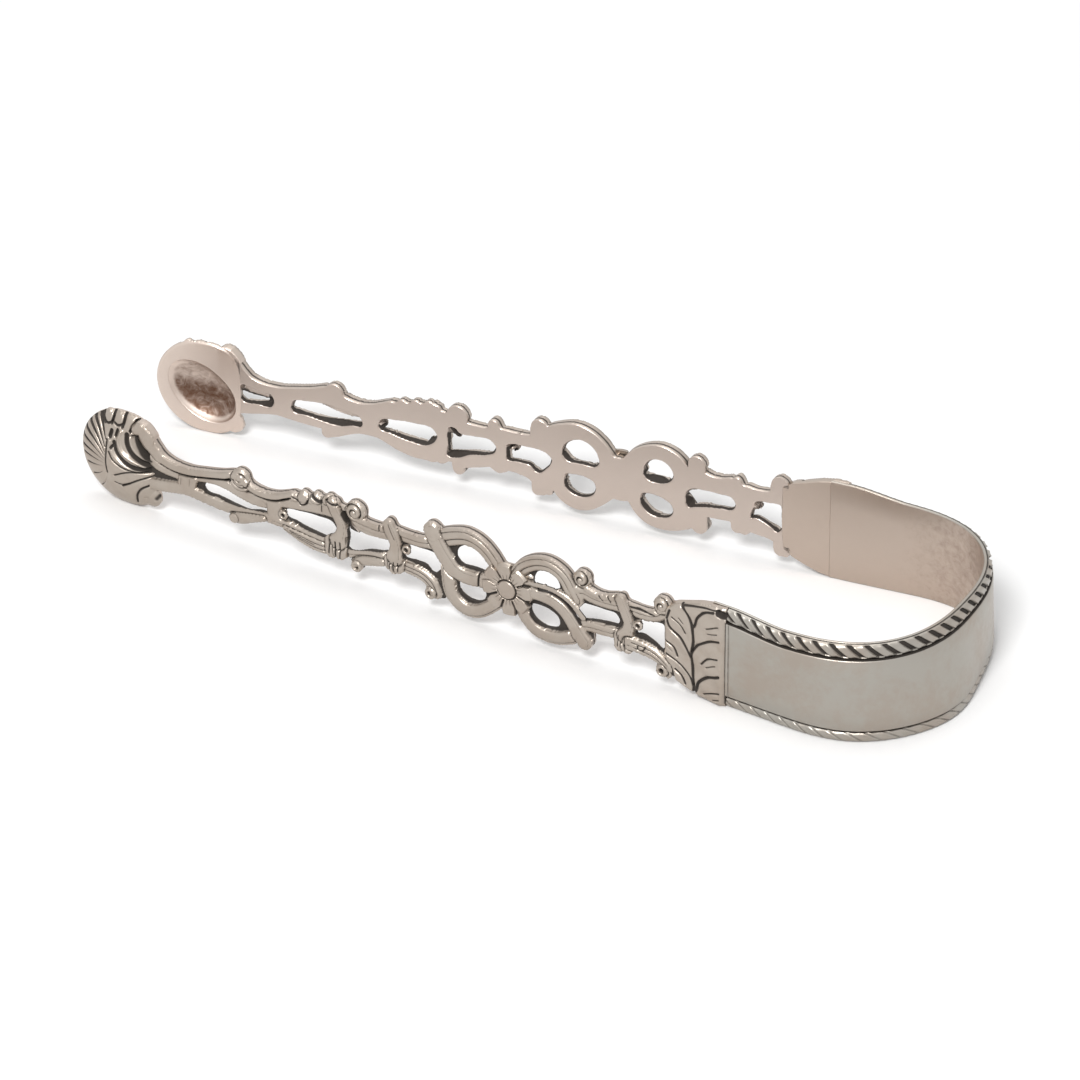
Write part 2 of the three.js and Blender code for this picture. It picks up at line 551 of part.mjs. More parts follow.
// Shell grip: polar grids over the outline, a fluted dome outside and a scooped hollow inside.
function shellGrip() {
  const centreX = GRIP_JOINT_X - GRIP_CENTRE;
  const centreZ = GRIP_HEIGHT / 2 - MID_HEIGHT;
  const half = GRIP_HEIGHT / 2;

  // round on the tip side, squarer on the neck side, where it is then cut flat
  function outline(angle) {
    const [across, up] = [Math.cos(angle), Math.sin(angle)];
    const tipSide = across < 0;
    const reach = tipSide ? GRIP_LENGTH - GRIP_CENTRE : GRIP_CENTRE + SOLDER_GAP;
    const power = tipSide ? 2 : 3;
    return (Math.abs(across / reach) ** power + Math.abs(up / half) ** power) ** (-1 / power);
  }

  function outside(ring, angle) {
    const rays = -Math.cos(angle) > 0 ? -Math.cos(angle) : 0;
    const flute = GRIP_FLUTE_DEPTH * rays * ring ** 2 * (Math.cos(2 * GRIP_FLUTES * (angle - Math.PI)) - 1) / 2;
    return GRIP_RIM_OUT + GRIP_DOME * Math.max(0, 1 - ring ** 2) ** GRIP_DOME_FULLNESS + flute;
  }

  function inside(x, z) {
    const away = Math.hypot(x - centreX - HOLLOW_OFFSET_X, z - centreZ + HOLLOW_DROP) / HOLLOW_RADIUS;
    const scoop = away < 1 ? HOLLOW_DEPTH * (1 - away ** 2) : 0;
    return scoop - GRIP_RIM_IN;
  }

  const positions = [];
  const triangles = [];
  const sides = [
    (ring, angle) => outside(ring, angle),
    (ring, angle, x, z) => inside(x, z),
  ];
  sides.forEach((depth, face) => {
    const start = positions.length / 3;
    positions.push(centreX, depth(0, 0, centreX, centreZ), centreZ);
    for (let ring = 1; ring <= GRIP_RINGS; ring += 1) {
      const share = Math.sin((Math.PI / 2) * (ring / GRIP_RINGS));
      for (let sector = 0; sector < GRIP_SECTORS; sector += 1) {
        const angle = (2 * Math.PI * sector) / GRIP_SECTORS;
        const radius = share * outline(angle);
        const [x, z] = [centreX + radius * Math.cos(angle), centreZ + radius * Math.sin(angle)];
        positions.push(x, depth(share, angle, x, z), z);
      }
    }
    for (let sector = 0; sector < GRIP_SECTORS; sector += 1) {
      const next = (sector + 1) % GRIP_SECTORS;
      const fan = [start, start + 1 + sector, start + 1 + next];
      triangles.push(...(face === 0 ? fan.reverse() : fan));
      for (let ring = 0; ring + 1 < GRIP_RINGS; ring += 1) {
        const base = start + 1 + ring * GRIP_SECTORS;
        const [a, b] = [base + sector, base + next];
        const [c, d] = [a + GRIP_SECTORS, b + GRIP_SECTORS];
        triangles.push(...(face === 0 ? [a, b, d, a, d, c] : [a, d, b, a, c, d]));
      }
    }
  });
  const perFace = 1 + GRIP_RINGS * GRIP_SECTORS;
  const rim = perFace - GRIP_SECTORS;
  for (let sector = 0; sector < GRIP_SECTORS; sector += 1) {
    const next = (sector + 1) % GRIP_SECTORS;
    const [a, b] = [rim + sector, rim + next];
    const [c, d] = [perFace + rim + sector, perFace + rim + next];
    triangles.push(a, b, d, a, d, c);
  }
  const cup = toSolid(indexedGeometry(positions, triangles));
  const lobeRadius = 1.3;
  const lobes = [1, -1].map((side) => {
    const lobe = new THREE.SphereGeometry(1, 9, 7).scale(lobeRadius, lobeRadius, lobeRadius);
    const up = centreZ + side * (half - lobeRadius - 0.5);
    return toSolid(lobe.translate(GRIP_JOINT_X - lobeRadius - 0.4, lobeRadius - GRIP_RIM_IN + 0.1, up));
  });
  const neckSide = block([GRIP_JOINT_X - CUT_REACH, -CUT_REACH, -CUT_REACH],
    [GRIP_JOINT_X - SOLDER_GAP / 2, CUT_REACH, CUT_REACH]);
  return joinAll([cup, ...lobes]).intersect(neckSide);
}

// Lays a flat piece along the plan of the near (-1) or far (+1) arm, at its height above the table.
function layAlongArm(solid, side) {
  const geometry = toGeometry(solid);
  const position = geometry.attributes.position;
  for (let i = 0; i < position.count; i += 1) {
    const [x, out, up] = [position.getX(i), position.getY(i), position.getZ(i)];
    position.setXYZ(i, x, side * (innerFace(x) + out), up + MID_HEIGHT);
  }
  return facingOut(geometry);
}

// Assembly

function silver(color, roughness) {
  return new THREE.MeshStandardMaterial({ color, roughness, metalness: 1 });
}

function piece(name, geometry, material) {
  const mesh = new THREE.Mesh(geometry, material);
  mesh.name = name;
  return mesh;
}

const POLISHED = 0xb5aea4;
const CAST = 0xb9aa9c;
const TARNISHED = 0xa89584;

const tongs = new THREE.Group();
tongs.add(piece('bow_spring', bowSpring(), silver(POLISHED, 0.25)));
tongs.add(piece('upper_rope_border', upperRope(), silver(TARNISHED, 0.4)));
tongs.add(piece('lower_rope_border', lowerRope(), silver(TARNISHED, 0.4)));

const openwork = armOpenwork();
const armPieces = {
  leaf_terminal: leafTerminal(openwork),
  loop_arm: loopCasting(openwork),
  flower_boss: flowerBoss(),
  scroll_arm: scrollCasting(openwork),
  shell_grip: shellGrip(),
};
for (const [hand, side] of [['near', -1], ['far', 1]]) {
  const arm = new THREE.Group();
  for (const [name, solid] of Object.entries(armPieces)) {
    arm.add(piece(`${hand}_${name}`, layAlongArm(solid, side), silver(CAST, 0.35)));
  }
  tongs.add(arm);
}

// The origin is on the table, at the middle of the overall length.
const tipX = GRIP_JOINT_X - GRIP_LENGTH;
const ropeOut = LIP_THICKNESS + SOLDER_GAP + ROPE_DEPTH * (1 + ROPE_STRAND_RISE);
const crownX = BOW_BEND_X + BOW_DEPTH + ropeOut;
tongs.position.x = -(tipX + crownX) / 2;

export default tongs;
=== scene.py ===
"""Cast openwork sugar tongs: a wrought spring bow with rope borders, two scrolled arms and two shell grips.

Laid out as an add-on and run as a script. Shapes are worked out in millimetres, with X along the tongs,
"out" measured from an arm's flat inner face and "up" from the table, and go into the meshes in metres.
"""

import math

import bpy
import numpy as np
from bpy.props import FloatProperty, FloatVectorProperty, IntProperty, PointerProperty
from mathutils import Matrix, Vector


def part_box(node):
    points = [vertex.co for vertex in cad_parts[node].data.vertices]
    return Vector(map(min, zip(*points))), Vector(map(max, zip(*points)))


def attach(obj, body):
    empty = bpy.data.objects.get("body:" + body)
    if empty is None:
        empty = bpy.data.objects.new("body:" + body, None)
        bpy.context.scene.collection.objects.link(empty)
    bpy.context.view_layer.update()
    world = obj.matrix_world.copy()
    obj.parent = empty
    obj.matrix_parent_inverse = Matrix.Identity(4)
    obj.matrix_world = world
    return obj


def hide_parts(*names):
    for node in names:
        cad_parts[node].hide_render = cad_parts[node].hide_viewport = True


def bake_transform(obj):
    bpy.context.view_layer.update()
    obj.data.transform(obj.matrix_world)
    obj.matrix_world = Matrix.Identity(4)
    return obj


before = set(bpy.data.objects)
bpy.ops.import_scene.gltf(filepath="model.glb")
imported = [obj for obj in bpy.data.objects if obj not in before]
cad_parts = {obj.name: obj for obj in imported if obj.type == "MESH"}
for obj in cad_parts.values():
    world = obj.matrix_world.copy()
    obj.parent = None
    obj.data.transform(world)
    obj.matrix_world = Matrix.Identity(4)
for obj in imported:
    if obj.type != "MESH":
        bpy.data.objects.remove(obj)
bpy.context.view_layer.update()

bl_info = {
    "name": "Sugar tongs",
    "version": (1, 0, 0),
    "blender": (4, 5, 0),
    "location": "View3D > Sidebar > Tongs",
    "description": "Builds openwork silver sugar tongs over their packed solids",
    "category": "Add Mesh",
}

# Plan of the arms and the bow, as in the solids
TIP_X = -69.8
ARM_HALF_SPAN = 15.64
ARM_LEAN = 0.0613
ARM_BEND = 0.00024
ARM_END_X = 28.0
BOW_BEND_X = 47.0
NECK_X = -56.6
SEAM_X = -12.9
BOW_JOINT_X = 37.5
LEAF_X = 28.0
LAP_X = 35.0
LAP_THICKNESS = 0.5
SEAM_GAP = 0.006
FLOWER_X = 2.6
FLOWER_UP = 7.8
MID_HEIGHT = 7.9

# The solids stand a little further along X than the drawing, so that their middle is at the origin.
SHIFT_X = 1000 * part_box("near_shell_grip")[0].x - TIP_X

# The camera, found from the bow's parallel edges and the arms' flat faces
CAMERA_TARGET = (SHIFT_X - 1.588, 0.0, 5.137)
CAMERA_AZIMUTH = math.radians(28.25)
CAMERA_ELEVATION = math.radians(31.70)
CAMERA_DISTANCE = 1180.0
CAMERA_LENS = 280.33

# Lamps and floor, in metres, and the share of its own white that the floor shows
KEY_PLACE = (0.24, -1.34, 1.56)
KEY_WIDTH = 0.6
OVERHEAD_PLACE = (-0.3, 0.5, 2.0)
OVERHEAD_WIDTH = 1.6
FLOOR_REACH = 3.0
FLOOR_GLOW = 0.05

# Edges that turn by more than these angles, in degrees, are shaded sharp
SHARP_ANGLE = 52.0
CAST_SHARP_ANGLE = 80.0

SIDES = {"near": -1, "far": 1}


def size(name, default, description):
    """A length property that is given in millimetres."""
    return FloatProperty(
        name=name, description=description, default=default / 1000, unit="LENGTH", precision=5
    )


def colour(name, default, description):
    """A colour property, in linear light."""
    return FloatVectorProperty(
        name=name, description=description, default=default, subtype="COLOR", min=0, max=1
    )


class TongsBowSizes(bpy.types.PropertyGroup):
    """Sizes of the spring bow and its rope borders."""

    half_width: size("Half width", 18.4, "Inner face of the bow from the mirror plane")
    depth: size("Depth", 17.0, "From the widest point to the crown")
    panel_height: size("Panel height", 15.8, "Width of the strip at the leaf")
    crown_height: size("Crown height", 14.9, "Width of the strip round the bow")
    thickness: size("Thickness", 1.3, "Thickness of the strip")
    lip: size("Lip", 0.45, "Thickness of the edge behind the rope")
    upper_band: size("Upper band", 2.3, "Width of the upper rope border")
    lower_band: size("Lower band", 1.8, "Width of the lower rope border")
    flare: size("Flare", 1.2, "How far the foot of each bend stands out")
    bent_foot: size("Bent foot", 1.8, "How far the foot is bent out beside the crown, on the near side")
    rope_depth: size("Rope depth", 0.85, "How far the rope stands out from the lip")
    rope_pitch: size("Rope pitch", 2.3, "From one strand to the next")
    squareness: FloatProperty(
        name="Squareness", description="2 is an ellipse, more is squarer", default=2.45
    )


class TongsArmSizes(bpy.types.PropertyGroup):
    """Heights of the cast openwork above its flat back."""

    web: size("Web", 1.3, "Flat ground between the mouldings")
    rail: size("Rail", 1.6, "Long rails")
    loop: size("Loop", 1.75, "Mouldings of the loops")
    strap: size("Strap", 1.8, "Straps that cross the rails")
    knob: size("Knob", 1.95, "Scroll eyes and knobs")
    leaf: size("Leaf", 1.75, "Leaf next to the bow")


class TongsFlowerSizes(bpy.types.PropertyGroup):
    """Sizes of the flower between the loops."""

    radius: size("Radius", 4.1, "Reach of the petals")
    boss_radius: size("Boss radius", 1.5, "Radius of the middle")
    depth: size("Depth", 0.75, "Rise of the petals over the web")
    boss_depth: size("Boss depth", 0.8, "Rise of the middle over the web")
    petals: IntProperty(name="Petals", description="Number of petals", default=8, min=3)


class TongsShellSizes(bpy.types.PropertyGroup):
    """Sizes of the shell grips."""

    height: size("Height", 14.9, "Height of the shell")
    reach: size("Reach", 7.5, "From the widest point to the tip")
    neck: size("Neck", 5.7, "From the widest point to the neck")
    rim_in: size("Rim inwards", 0.3, "Rim, inwards of the arm's flat face")
    rim_out: size("Rim outwards", 0.5, "Rim, outwards of that face")
    dome: size("Dome", 2.2, "Rise of the outer face over the rim")
    hollow_depth: size("Hollow depth", 1.9, "Depth of the scooped hollow")
    hollow_length: size("Hollow half length", 5.8, "Half length of the hollow")
    hollow_width: size("Hollow half width", 4.2, "Half width of the hollow")


class TongsFinish(bpy.types.PropertyGroup):
    """Colours and gloss of the silver."""

    bow: colour("Bow silver", (0.388, 0.365, 0.328), "Worn, polished silver of the bow")
    cast: colour("Cast silver", (0.445, 0.392, 0.34), "Worn silver of the castings")
    warm: colour("Warm tarnish", (0.36, 0.295, 0.243), "Thin tarnish on flat faces")
    inner: colour("Inner faces", (0.57, 0.487, 0.434), "Pinkish tarnish on the castings' inner faces")
    bow_inner: colour("Bow's inner face", (0.51, 0.42, 0.357), "Pinkish tarnish inside the bow")
    grip_inner: colour("Grips' inner faces", (0.72, 0.61, 0.54), "Paler tarnish on the rims of the shells")
    # The oxide colour darkens chased lines, and also stands for painted shade in corners and recesses
    oxide_and_shade: colour("Oxide", (0.022, 0.016, 0.012), "Dark oxide in recesses")
    # Brown of the tarnish; in the shell's hollow its mask adds a painted shadow towards the bottom
    hollow: colour("Hollow tarnish", (0.14, 0.075, 0.048), "Brown tarnish in the shell's hollow")
    roughness: FloatProperty(name="Roughness", description="Of the worn polish", default=0.37, min=0, max=1)


class TongsStage(bpy.types.PropertyGroup):
    """Floor, lamps and surroundings."""

    floor: colour("Floor", (0.97, 0.97, 0.97), "Pale floor")
    ambient: FloatProperty(
        name="Ambient", description="Strength of the light from all round", default=0.34, min=0
    )
    key: FloatProperty(
        name="Key lamp", description="Power of the lamp in front", default=29.5, unit="POWER", min=0
    )
    overhead: FloatProperty(
        name="Overhead lamp", description="Power of the large lamp", default=14.0, unit="POWER", min=0
    )


GROUPS = {
    "tongs_bow": TongsBowSizes,
    "tongs_arm": TongsArmSizes,
    "tongs_flower": TongsFlowerSizes,
    "tongs_shell": TongsShellSizes,
    "tongs_finish": TongsFinish,
    "tongs_stage": TongsStage,
}


class Sizes:
    """Reads the lengths of a property group as millimetres."""

    def __init__(self, group):
        self.group = group

    def __getattr__(self, name):
        return 1000 * getattr(self.group, name)


# Curves and surfaces


def smoothstep(low, high, value):
    """0 below low, 1 above high, and 3t^2 - 2t^3 between them."""
    t = np.clip((value - low) / (high - low), 0, 1)
    return t * t * (3 - 2 * t)


def mound(distance, width):
    """A round bump: e to the power of minus the square of distance over width."""
    return np.exp(-((distance / width) ** 2))


def arch(share):
    """A half ellipse: the square root of one minus the share squared, and 0 beyond a share of 1."""
    return np.sqrt(np.clip(1 - share**2, 0, 1))


def arm_plan(x):
    """Inner face's distance from the mirror plane along the arm: a parabola in x."""
    return ARM_HALF_SPAN + ARM_LEAN * x - ARM_BEND * x * x


def inner_face(x, half_width):
    """The arm's parabola up to its end, then a cubic from the same slope to level at the bow's width."""
    length = BOW_BEND_X - ARM_END_X
    t = np.clip((x - ARM_END_X) / length, 0, 1)
    start = arm_plan(ARM_END_X)
    slope = (ARM_LEAN - 2 * ARM_BEND * ARM_END_X) * length
    cubic = start + slope * (t**3 - 2 * t**2 + t) + (half_width - start) * (3 * t**2 - 2 * t**3)
    return np.where(x <= ARM_END_X, arm_plan(x), cubic)


def lay_along_arm(x, out, up):
    """Bends the flat drawing along the arm: y is the inner face's distance at x plus out."""
    half_width = Sizes(bpy.context.scene.tongs_bow).half_width
    return np.stack([x, inner_face(x, half_width) + out, up], axis=-1)


def smooth_path(points, spacing):
    """A cubic through the points, with slopes from their neighbours: even places and distances."""
    points = np.asarray(points, float)
    chord = np.concatenate([[0], np.cumsum(np.linalg.norm(np.diff(points, axis=0), axis=1))])
    slopes = np.gradient(points, chord, axis=0)
    length = chord[-1]
    stations = np.linspace(0, length, max(4, math.ceil(length / spacing)) + 1)
    piece = np.clip(np.searchsorted(chord, stations, side="right") - 1, 0, len(points) - 2)
    span = (chord[piece + 1] - chord[piece])[:, None]
    t = (stations[:, None] - chord[piece][:, None]) / span
    places = (
        points[piece] * (2 * t**3 - 3 * t**2 + 1)
        + points[piece + 1] * (3 * t**2 - 2 * t**3)
        + slopes[piece] * span * (t**3 - 2 * t**2 + t)
        + slopes[piece + 1] * span * (t**3 - t**2)
    )
    return places, stations


def box_mean(values, reach):
    """Mean over a square that reaches so many cells each way, from running totals."""
    width = 2 * reach + 1
    padded = np.pad(values, ((reach + 1, reach), (reach + 1, reach)), mode="edge")
    total = padded.cumsum(axis=0).cumsum(axis=1)
    square = total[width:, width:] - total[:-width, width:]
    square = square - total[width:, :-width] + total[:-width, :-width]
    return square / width**2


# Meshes


class Skin:
    """Collects closed surfaces, with what the silver reads at their points, into one piece."""

    READINGS = ("groove", "tarnish", "inner")

    def __init__(self):
        self.points = []
        self.faces = []
        self.readings = {name: [] for name in self.READINGS}
        self.count = 0

    def add(self, points, faces, **readings):
        """Takes a closed surface: points, arrays of faces, and one or many values for each reading."""
        self.points.append(points)
        self.faces += [corners + self.count for corners in faces]
        for name in self.READINGS:
            self.readings[name].append(np.broadcast_to(readings.get(name, 0.0), len(points)))
        self.count += len(points)

    def add_rings(self, rings, **readings):
        """Skins a stack of rings with quads, closes both ends, and turns the faces outwards by volume."""
        rows, around, _ = rings.shape
        index = np.arange(rows * around).reshape(rows, around)
        turn = np.roll(index, -1, axis=1)
        quads = np.stack([index[:-1], turn[:-1], turn[1:], index[1:]], axis=-1).reshape(-1, 4)
        flat = rings.reshape(-1, 3)
        corner = flat[quads] - flat.mean(axis=0)
        volume = np.einsum("ij,ij->i", corner[:, 0], np.cross(corner[:, 1], corner[:, 2])).sum()
        volume += np.einsum("ij,ij->i", corner[:, 0], np.cross(corner[:, 2], corner[:, 3])).sum()
        first, last = index[0][::-1], index[-1]
        if volume < 0:
            quads, first, last = quads[:, ::-1], first[::-1], last[::-1]
        spread = {name: np.broadcast_to(value, (rows, around)).ravel() for name, value in readings.items()}
        self.add(flat, [quads, first[None], last[None]], **spread)

    def piece(self, name, material, place, sharp=SHARP_ANGLE):
        """The finished object; "place" takes the drawing's points to millimetres in the shared frame."""
        points = place(np.concatenate(self.points)) / 1000
        turn = -1 if place is near_side else 1
        faces = [corners[:, ::turn].tolist() for corners in self.faces]
        mesh = bpy.data.meshes.new(name)
        mesh.from_pydata(points.tolist(), [], sum(faces, []))
        for label, values in self.readings.items():
            attribute = mesh.attributes.new(label, "FLOAT", "POINT")
            attribute.data.foreach_set("value", np.concatenate(values).astype(np.float32))
        mesh.shade_smooth()
        mesh.set_sharp_from_angle(angle=math.radians(sharp))
        mesh.materials.append(material)
        mesh.update()
        if mesh.validate():
            raise RuntimeError(f"{name} has faces that had to be mended")
        made = bpy.data.objects.new(name, mesh)
        bpy.context.scene.collection.objects.link(made)
        return made


def far_side(points):
    """The far arm: the drawing as it is, moved along X."""
    return points + np.array([SHIFT_X, 0, 0])


def near_side(points):
    """The near arm is the far one's mirror image."""
    return far_side(points) * np.array([1, -1, 1])


PLACES = {"near": near_side, "far": far_side}


# Castings as height maps

ARM_GRID = 0.11
FINE_GRID = 0.09
PATH_SPACING = 0.3
FILLET = 0.3
GUTTER_WIDTH = 0.26
EDGE_REACH = 0.7
BACK_CHAMFER = 0.07
FLUSH_JOINTS = ((NECK_X, 0.3), (SEAM_X, 0.3), (LEAF_X, 0.8))
GROUND_HEIGHT = 0.9
DRAFT = 0.2
WALL_SLOPE = 2.2
LEAST_THICKNESS = 0.3

# Rows of the wall, as shares of the thickness, and how dark they are in holes and outside
WALL_SHARES = (0.72, 0.45, 0.18)
# In holes the walls are painted dark as oxide and shade; on the far arm the front row is left light as a
# painted reflection of the floor
HOLE_WALL_OXIDE_AND_SHADE = {"near": (0.8, 1.0, 1.0), "far": (0.1, 0.75, 1.0)}
OUTER_WALL_DARKNESS = (0.0, 0.85, 0.0)


class Relief:
    """A casting: a front and a back height over a grid of x and height above the table, in one outline.

    inside is how deep a point lies within the outline, and is below zero outside it. front and back are
    distances out from the arm's flat inner face. dark is what the silver reads on the front, back_dark and
    tarnish on the back.
    """

    def __init__(self, left, right, low, high, grid):
        self.grid = grid
        columns, rows = np.arange(left, right, grid), np.arange(low, high, grid)
        self.x, self.up = np.meshgrid(columns, rows, indexing="ij")
        self.inside = np.full_like(self.x, -1.0)
        self.front = np.zeros_like(self.x)
        self.back = np.zeros_like(self.x)
        self.dark = np.zeros_like(self.x)
        self.back_dark = np.zeros_like(self.x)
        self.tarnish = np.zeros_like(self.x)

    def window(self, low, high):
        """The part of the grid between two corners."""
        columns = np.searchsorted(self.x[:, 0], (low[0], high[0]))
        rows = np.searchsorted(self.up[0], (low[1], high[1]))
        return slice(*columns), slice(*rows)

    def follow(self, points, reach):
        """For the grid near a smooth path: its window, the distance to its left and the share along it."""
        places, stations = smooth_path(points, PATH_SPACING)
        window = self.window(places.min(axis=0) - reach, places.max(axis=0) + reach)
        run = np.diff(places, axis=0)
        length = np.linalg.norm(run, axis=1)
        ahead_x, ahead_up = (run / length[:, None]).T
        away_x = self.x[window][..., None] - places[:-1, 0]
        away_up = self.up[window][..., None] - places[:-1, 1]
        along = np.clip(away_x * ahead_x + away_up * ahead_up, 0, length)
        gap_x = away_x - along * ahead_x
        gap_up = away_up - along * ahead_up
        distance = np.hypot(gap_x, gap_up)
        nearest = distance.argmin(axis=-1)[..., None]
        left = np.take_along_axis(ahead_x * gap_up - ahead_up * gap_x, nearest, -1)[..., 0]
        offset = np.take_along_axis(distance, nearest, -1)[..., 0] * np.where(left < 0, -1, 1)
        share = (stations[nearest[..., 0]] + np.take_along_axis(along, nearest, -1)[..., 0]) / stations[-1]
        return window, offset, np.clip(share, 0, 1)

    def lay(self, window, depth, rise, dark, gutter):
        """Lays a form over what is there.

        It joins the outline with a small fillet, shows where it stands the higher, and sinks a dark gutter
        into whatever lies just outside its edge.
        """
        beside = mound(depth, GUTTER_WIDTH) * (depth < 0)
        under = self.front[window] - gutter * beside
        over = (depth > -self.grid) & (rise >= under)
        shade = np.maximum(self.dark[window], min(1.0, 3 * gutter) * beside)
        self.front[window] = np.where(over, rise, np.maximum(under, 0))
        self.dark[window] = np.where(over, dark, shade)
        old = self.inside[window]
        close = np.clip(1 - np.abs(old - depth) / FILLET, 0, 1)
        self.inside[window] = np.maximum(old, depth) + 0.25 * FILLET * close**2

    def stroke(self, points, widths, height, section, gutter=0.0, dark=0.0):
        """Carries a section along a smooth path; widths and listed heights are spread over its length."""
        window, offset, share = self.follow(points, 0.5 * max(widths) + EDGE_REACH)
        half = 0.5 * np.interp(share, np.linspace(0, 1, len(widths)), widths)
        heights = np.atleast_1d(height)
        rise, line = section(np.clip(offset / half, -1, 1))
        rise = rise * np.interp(share, np.linspace(0, 1, len(heights)), heights)
        self.lay(window, half - np.abs(offset), rise, np.maximum(line, dark), gutter)

    def disc(self, x, up, radius):
        """For the grid near a disc: its window, the share of the radius and the angle."""
        reach = radius + EDGE_REACH
        window = self.window((x - reach, up - reach), (x + reach, up + reach))
        away_x, away_up = self.x[window] - x, self.up[window] - up
        return window, np.hypot(away_x, away_up) / radius, np.arctan2(away_up, away_x)

    def curl(self, x, up, radius, height, gutter=0.2):
        """A small curl: a round ring with a dark middle."""
        window, share, _ = self.disc(x, up, radius)
        middle = 1 - smoothstep(0.2, 0.5, share)
        rise = height * (0.6 + 0.4 * arch((share - 0.66) / 0.36)) - 0.45 * middle
        self.lay(window, radius * (1 - share), rise, middle, gutter)

    def eye(self, x, up, radius, height, turns=1.2, spin=1, gutter=0.3):
        """A scroll eye: a low dome with a dark spiral groove.

        The groove lies where the share of the radius grows evenly with the angle, for so many turns.
        """
        window, share, angle = self.disc(x, up, radius)
        wound = np.mod(spin * angle / (2 * math.pi) - 1.5 * (share - 0.16) * turns, 1)
        groove = mound(np.minimum(wound, 1 - wound), 0.14) * smoothstep(0.12, 0.3, share)
        groove = groove * (1 - smoothstep(0.8, 0.95, share)) * min(1.0, turns)
        rise = height * (0.45 + 0.55 * arch(share) ** 0.8 - 0.26 * groove)
        self.lay(window, radius * (1 - share), rise, 0.95 * groove, gutter)

    def chase(self, lines, start=1.0):
        """Cuts round grooves along smooth lines, dark where they are deep; a depth below zero raises a rib.

        Width and depth grow evenly along each line, from the given share of them at its start.
        """
        for points, width, depth in lines:
            window, offset, share = self.follow(points, 3 * width)
            grown = start + (1 - start) * share
            cut = depth * grown * mound(offset, width * grown)
            self.front[window] -= cut
            self.dark[window] = np.maximum(self.dark[window], np.clip(cut / 0.25, 0, 1))

    def gather_oxide_and_shade(self, reach, shallow, deep):
        """Darkens the front where it lies lower than the mean of its surroundings: oxide, and painted shade
        in the recesses.
        """
        front = np.where(self.inside > 0, self.front, 0)
        low = box_mean(front, round(reach / self.grid)) - front
        self.dark = np.maximum(self.dark, smoothstep(shallow, deep, low))

    def pierce(self, outlines):
        """Opens the holes, which are listed as they show on the flat back.

        Dark ground fills the gaps between the mouldings, up to a little within each outline. Where a
        moulding stands over a hole, the back slopes in behind it. The outlines run anticlockwise, so a
        point to the left of one lies within its hole.
        """
        depth = np.full_like(self.inside, -1.0)
        for outline in outlines:
            window, left, _ = self.follow(outline + outline[:1], 1.2)
            depth[window] = np.maximum(depth[window], left)
        gaps = self.holes() > 0
        beside = np.clip(-self.inside, 0, 1)
        self.inside = np.where(gaps, np.maximum(self.inside, DRAFT - depth), self.inside)
        self.front = np.where(gaps, np.maximum(self.front, GROUND_HEIGHT), self.front)
        self.dark = np.where(gaps, np.maximum(self.dark, 0.9 * smoothstep(0.02, 0.22, beside)), self.dark)
        self.back = np.clip(WALL_SLOPE * depth, 0, np.maximum(self.front - LEAST_THICKNESS, 0))
        # Up-facing slopes inside the holes are painted dark, as oxide and shade like the hole walls
        faces_up = smoothstep(-0.5, 0.1, np.gradient(depth, self.grid, axis=1))
        self.back_dark = smoothstep(0.0, 0.1, depth) * faces_up

    def holes(self):
        """1 outside the outline where the casting lies both above and below, so in its pierced holes."""
        solid = self.inside > 0
        below = np.maximum.accumulate(solid, axis=1)
        above = np.maximum.accumulate(solid[:, ::-1], axis=1)[:, ::-1]
        return (below & above & ~solid).astype(float)

    def skin(self, hand, walls_dark=1.0):
        """The closed surface: front, back and the wall between them, as points, faces and readings.

        Grid cells within the outline become faces. A cell that the outline crosses is cut along it by
        marching squares: a point goes on each side of the cell whose ends lie on either side of the
        outline, at the share of that side where inside falls to zero. Its heights and readings are those
        of the end within.
        """
        least = 0.12 * self.grid
        clear = np.where(self.inside < 0, -least, least)
        inside = np.where(np.abs(self.inside) < least, clear, self.inside)
        within = inside > 0
        holes = self.holes()
        maps = np.stack([
            self.x, self.up, self.front, self.back, self.dark, self.back_dark, self.tarnish,
            inside, *np.gradient(inside, self.grid),
        ])
        rim = count = within.sum()
        number = np.full(within.shape, -1)
        number[within] = np.arange(count)
        parts, side_numbers, hole = [maps[:, within]], [], []
        for axis in (0, 1):
            first = (slice(None),) * axis + (slice(None, -1),)
            second = (slice(None),) * axis + (slice(1, None),)
            cut = within[first] != within[second]
            share = (inside[first] / np.where(cut, inside[first] - inside[second], 1))[cut]
            ends = [maps[(slice(None), *end)][:, cut] for end in (first, second)]
            rim_points = ends[0] * (1 - share) + ends[1] * share
            rim_points[2:7] = np.where(within[first][cut], ends[0], ends[1])[2:7]
            parts.append(rim_points)
            hole.append(np.maximum(holes[first], holes[second])[cut])
            side_numbers.append(np.full(cut.shape, -1))
            side_numbers[axis][cut] = count + np.arange(cut.sum())
            count += cut.sum()
        maps = np.concatenate(parts, axis=1)
        x, up, front, back, dark, back_dark, tarnish, deep, slope_x, slope_up = maps
        steep = np.maximum(np.hypot(slope_x, slope_up), 0.2)
        draw_in = BACK_CHAMFER * np.clip(1 - deep / (2.5 * BACK_CHAMFER), 0, 1) / steep
        for joint, reach in FLUSH_JOINTS:
            draw_in = draw_in * (np.abs(x - joint) > reach)
        points = [
            lay_along_arm(x, front, up),
            lay_along_arm(x + draw_in * slope_x, back, up + draw_in * slope_up),
        ]
        groove = [dark, back_dark]
        hole = np.concatenate(hole)
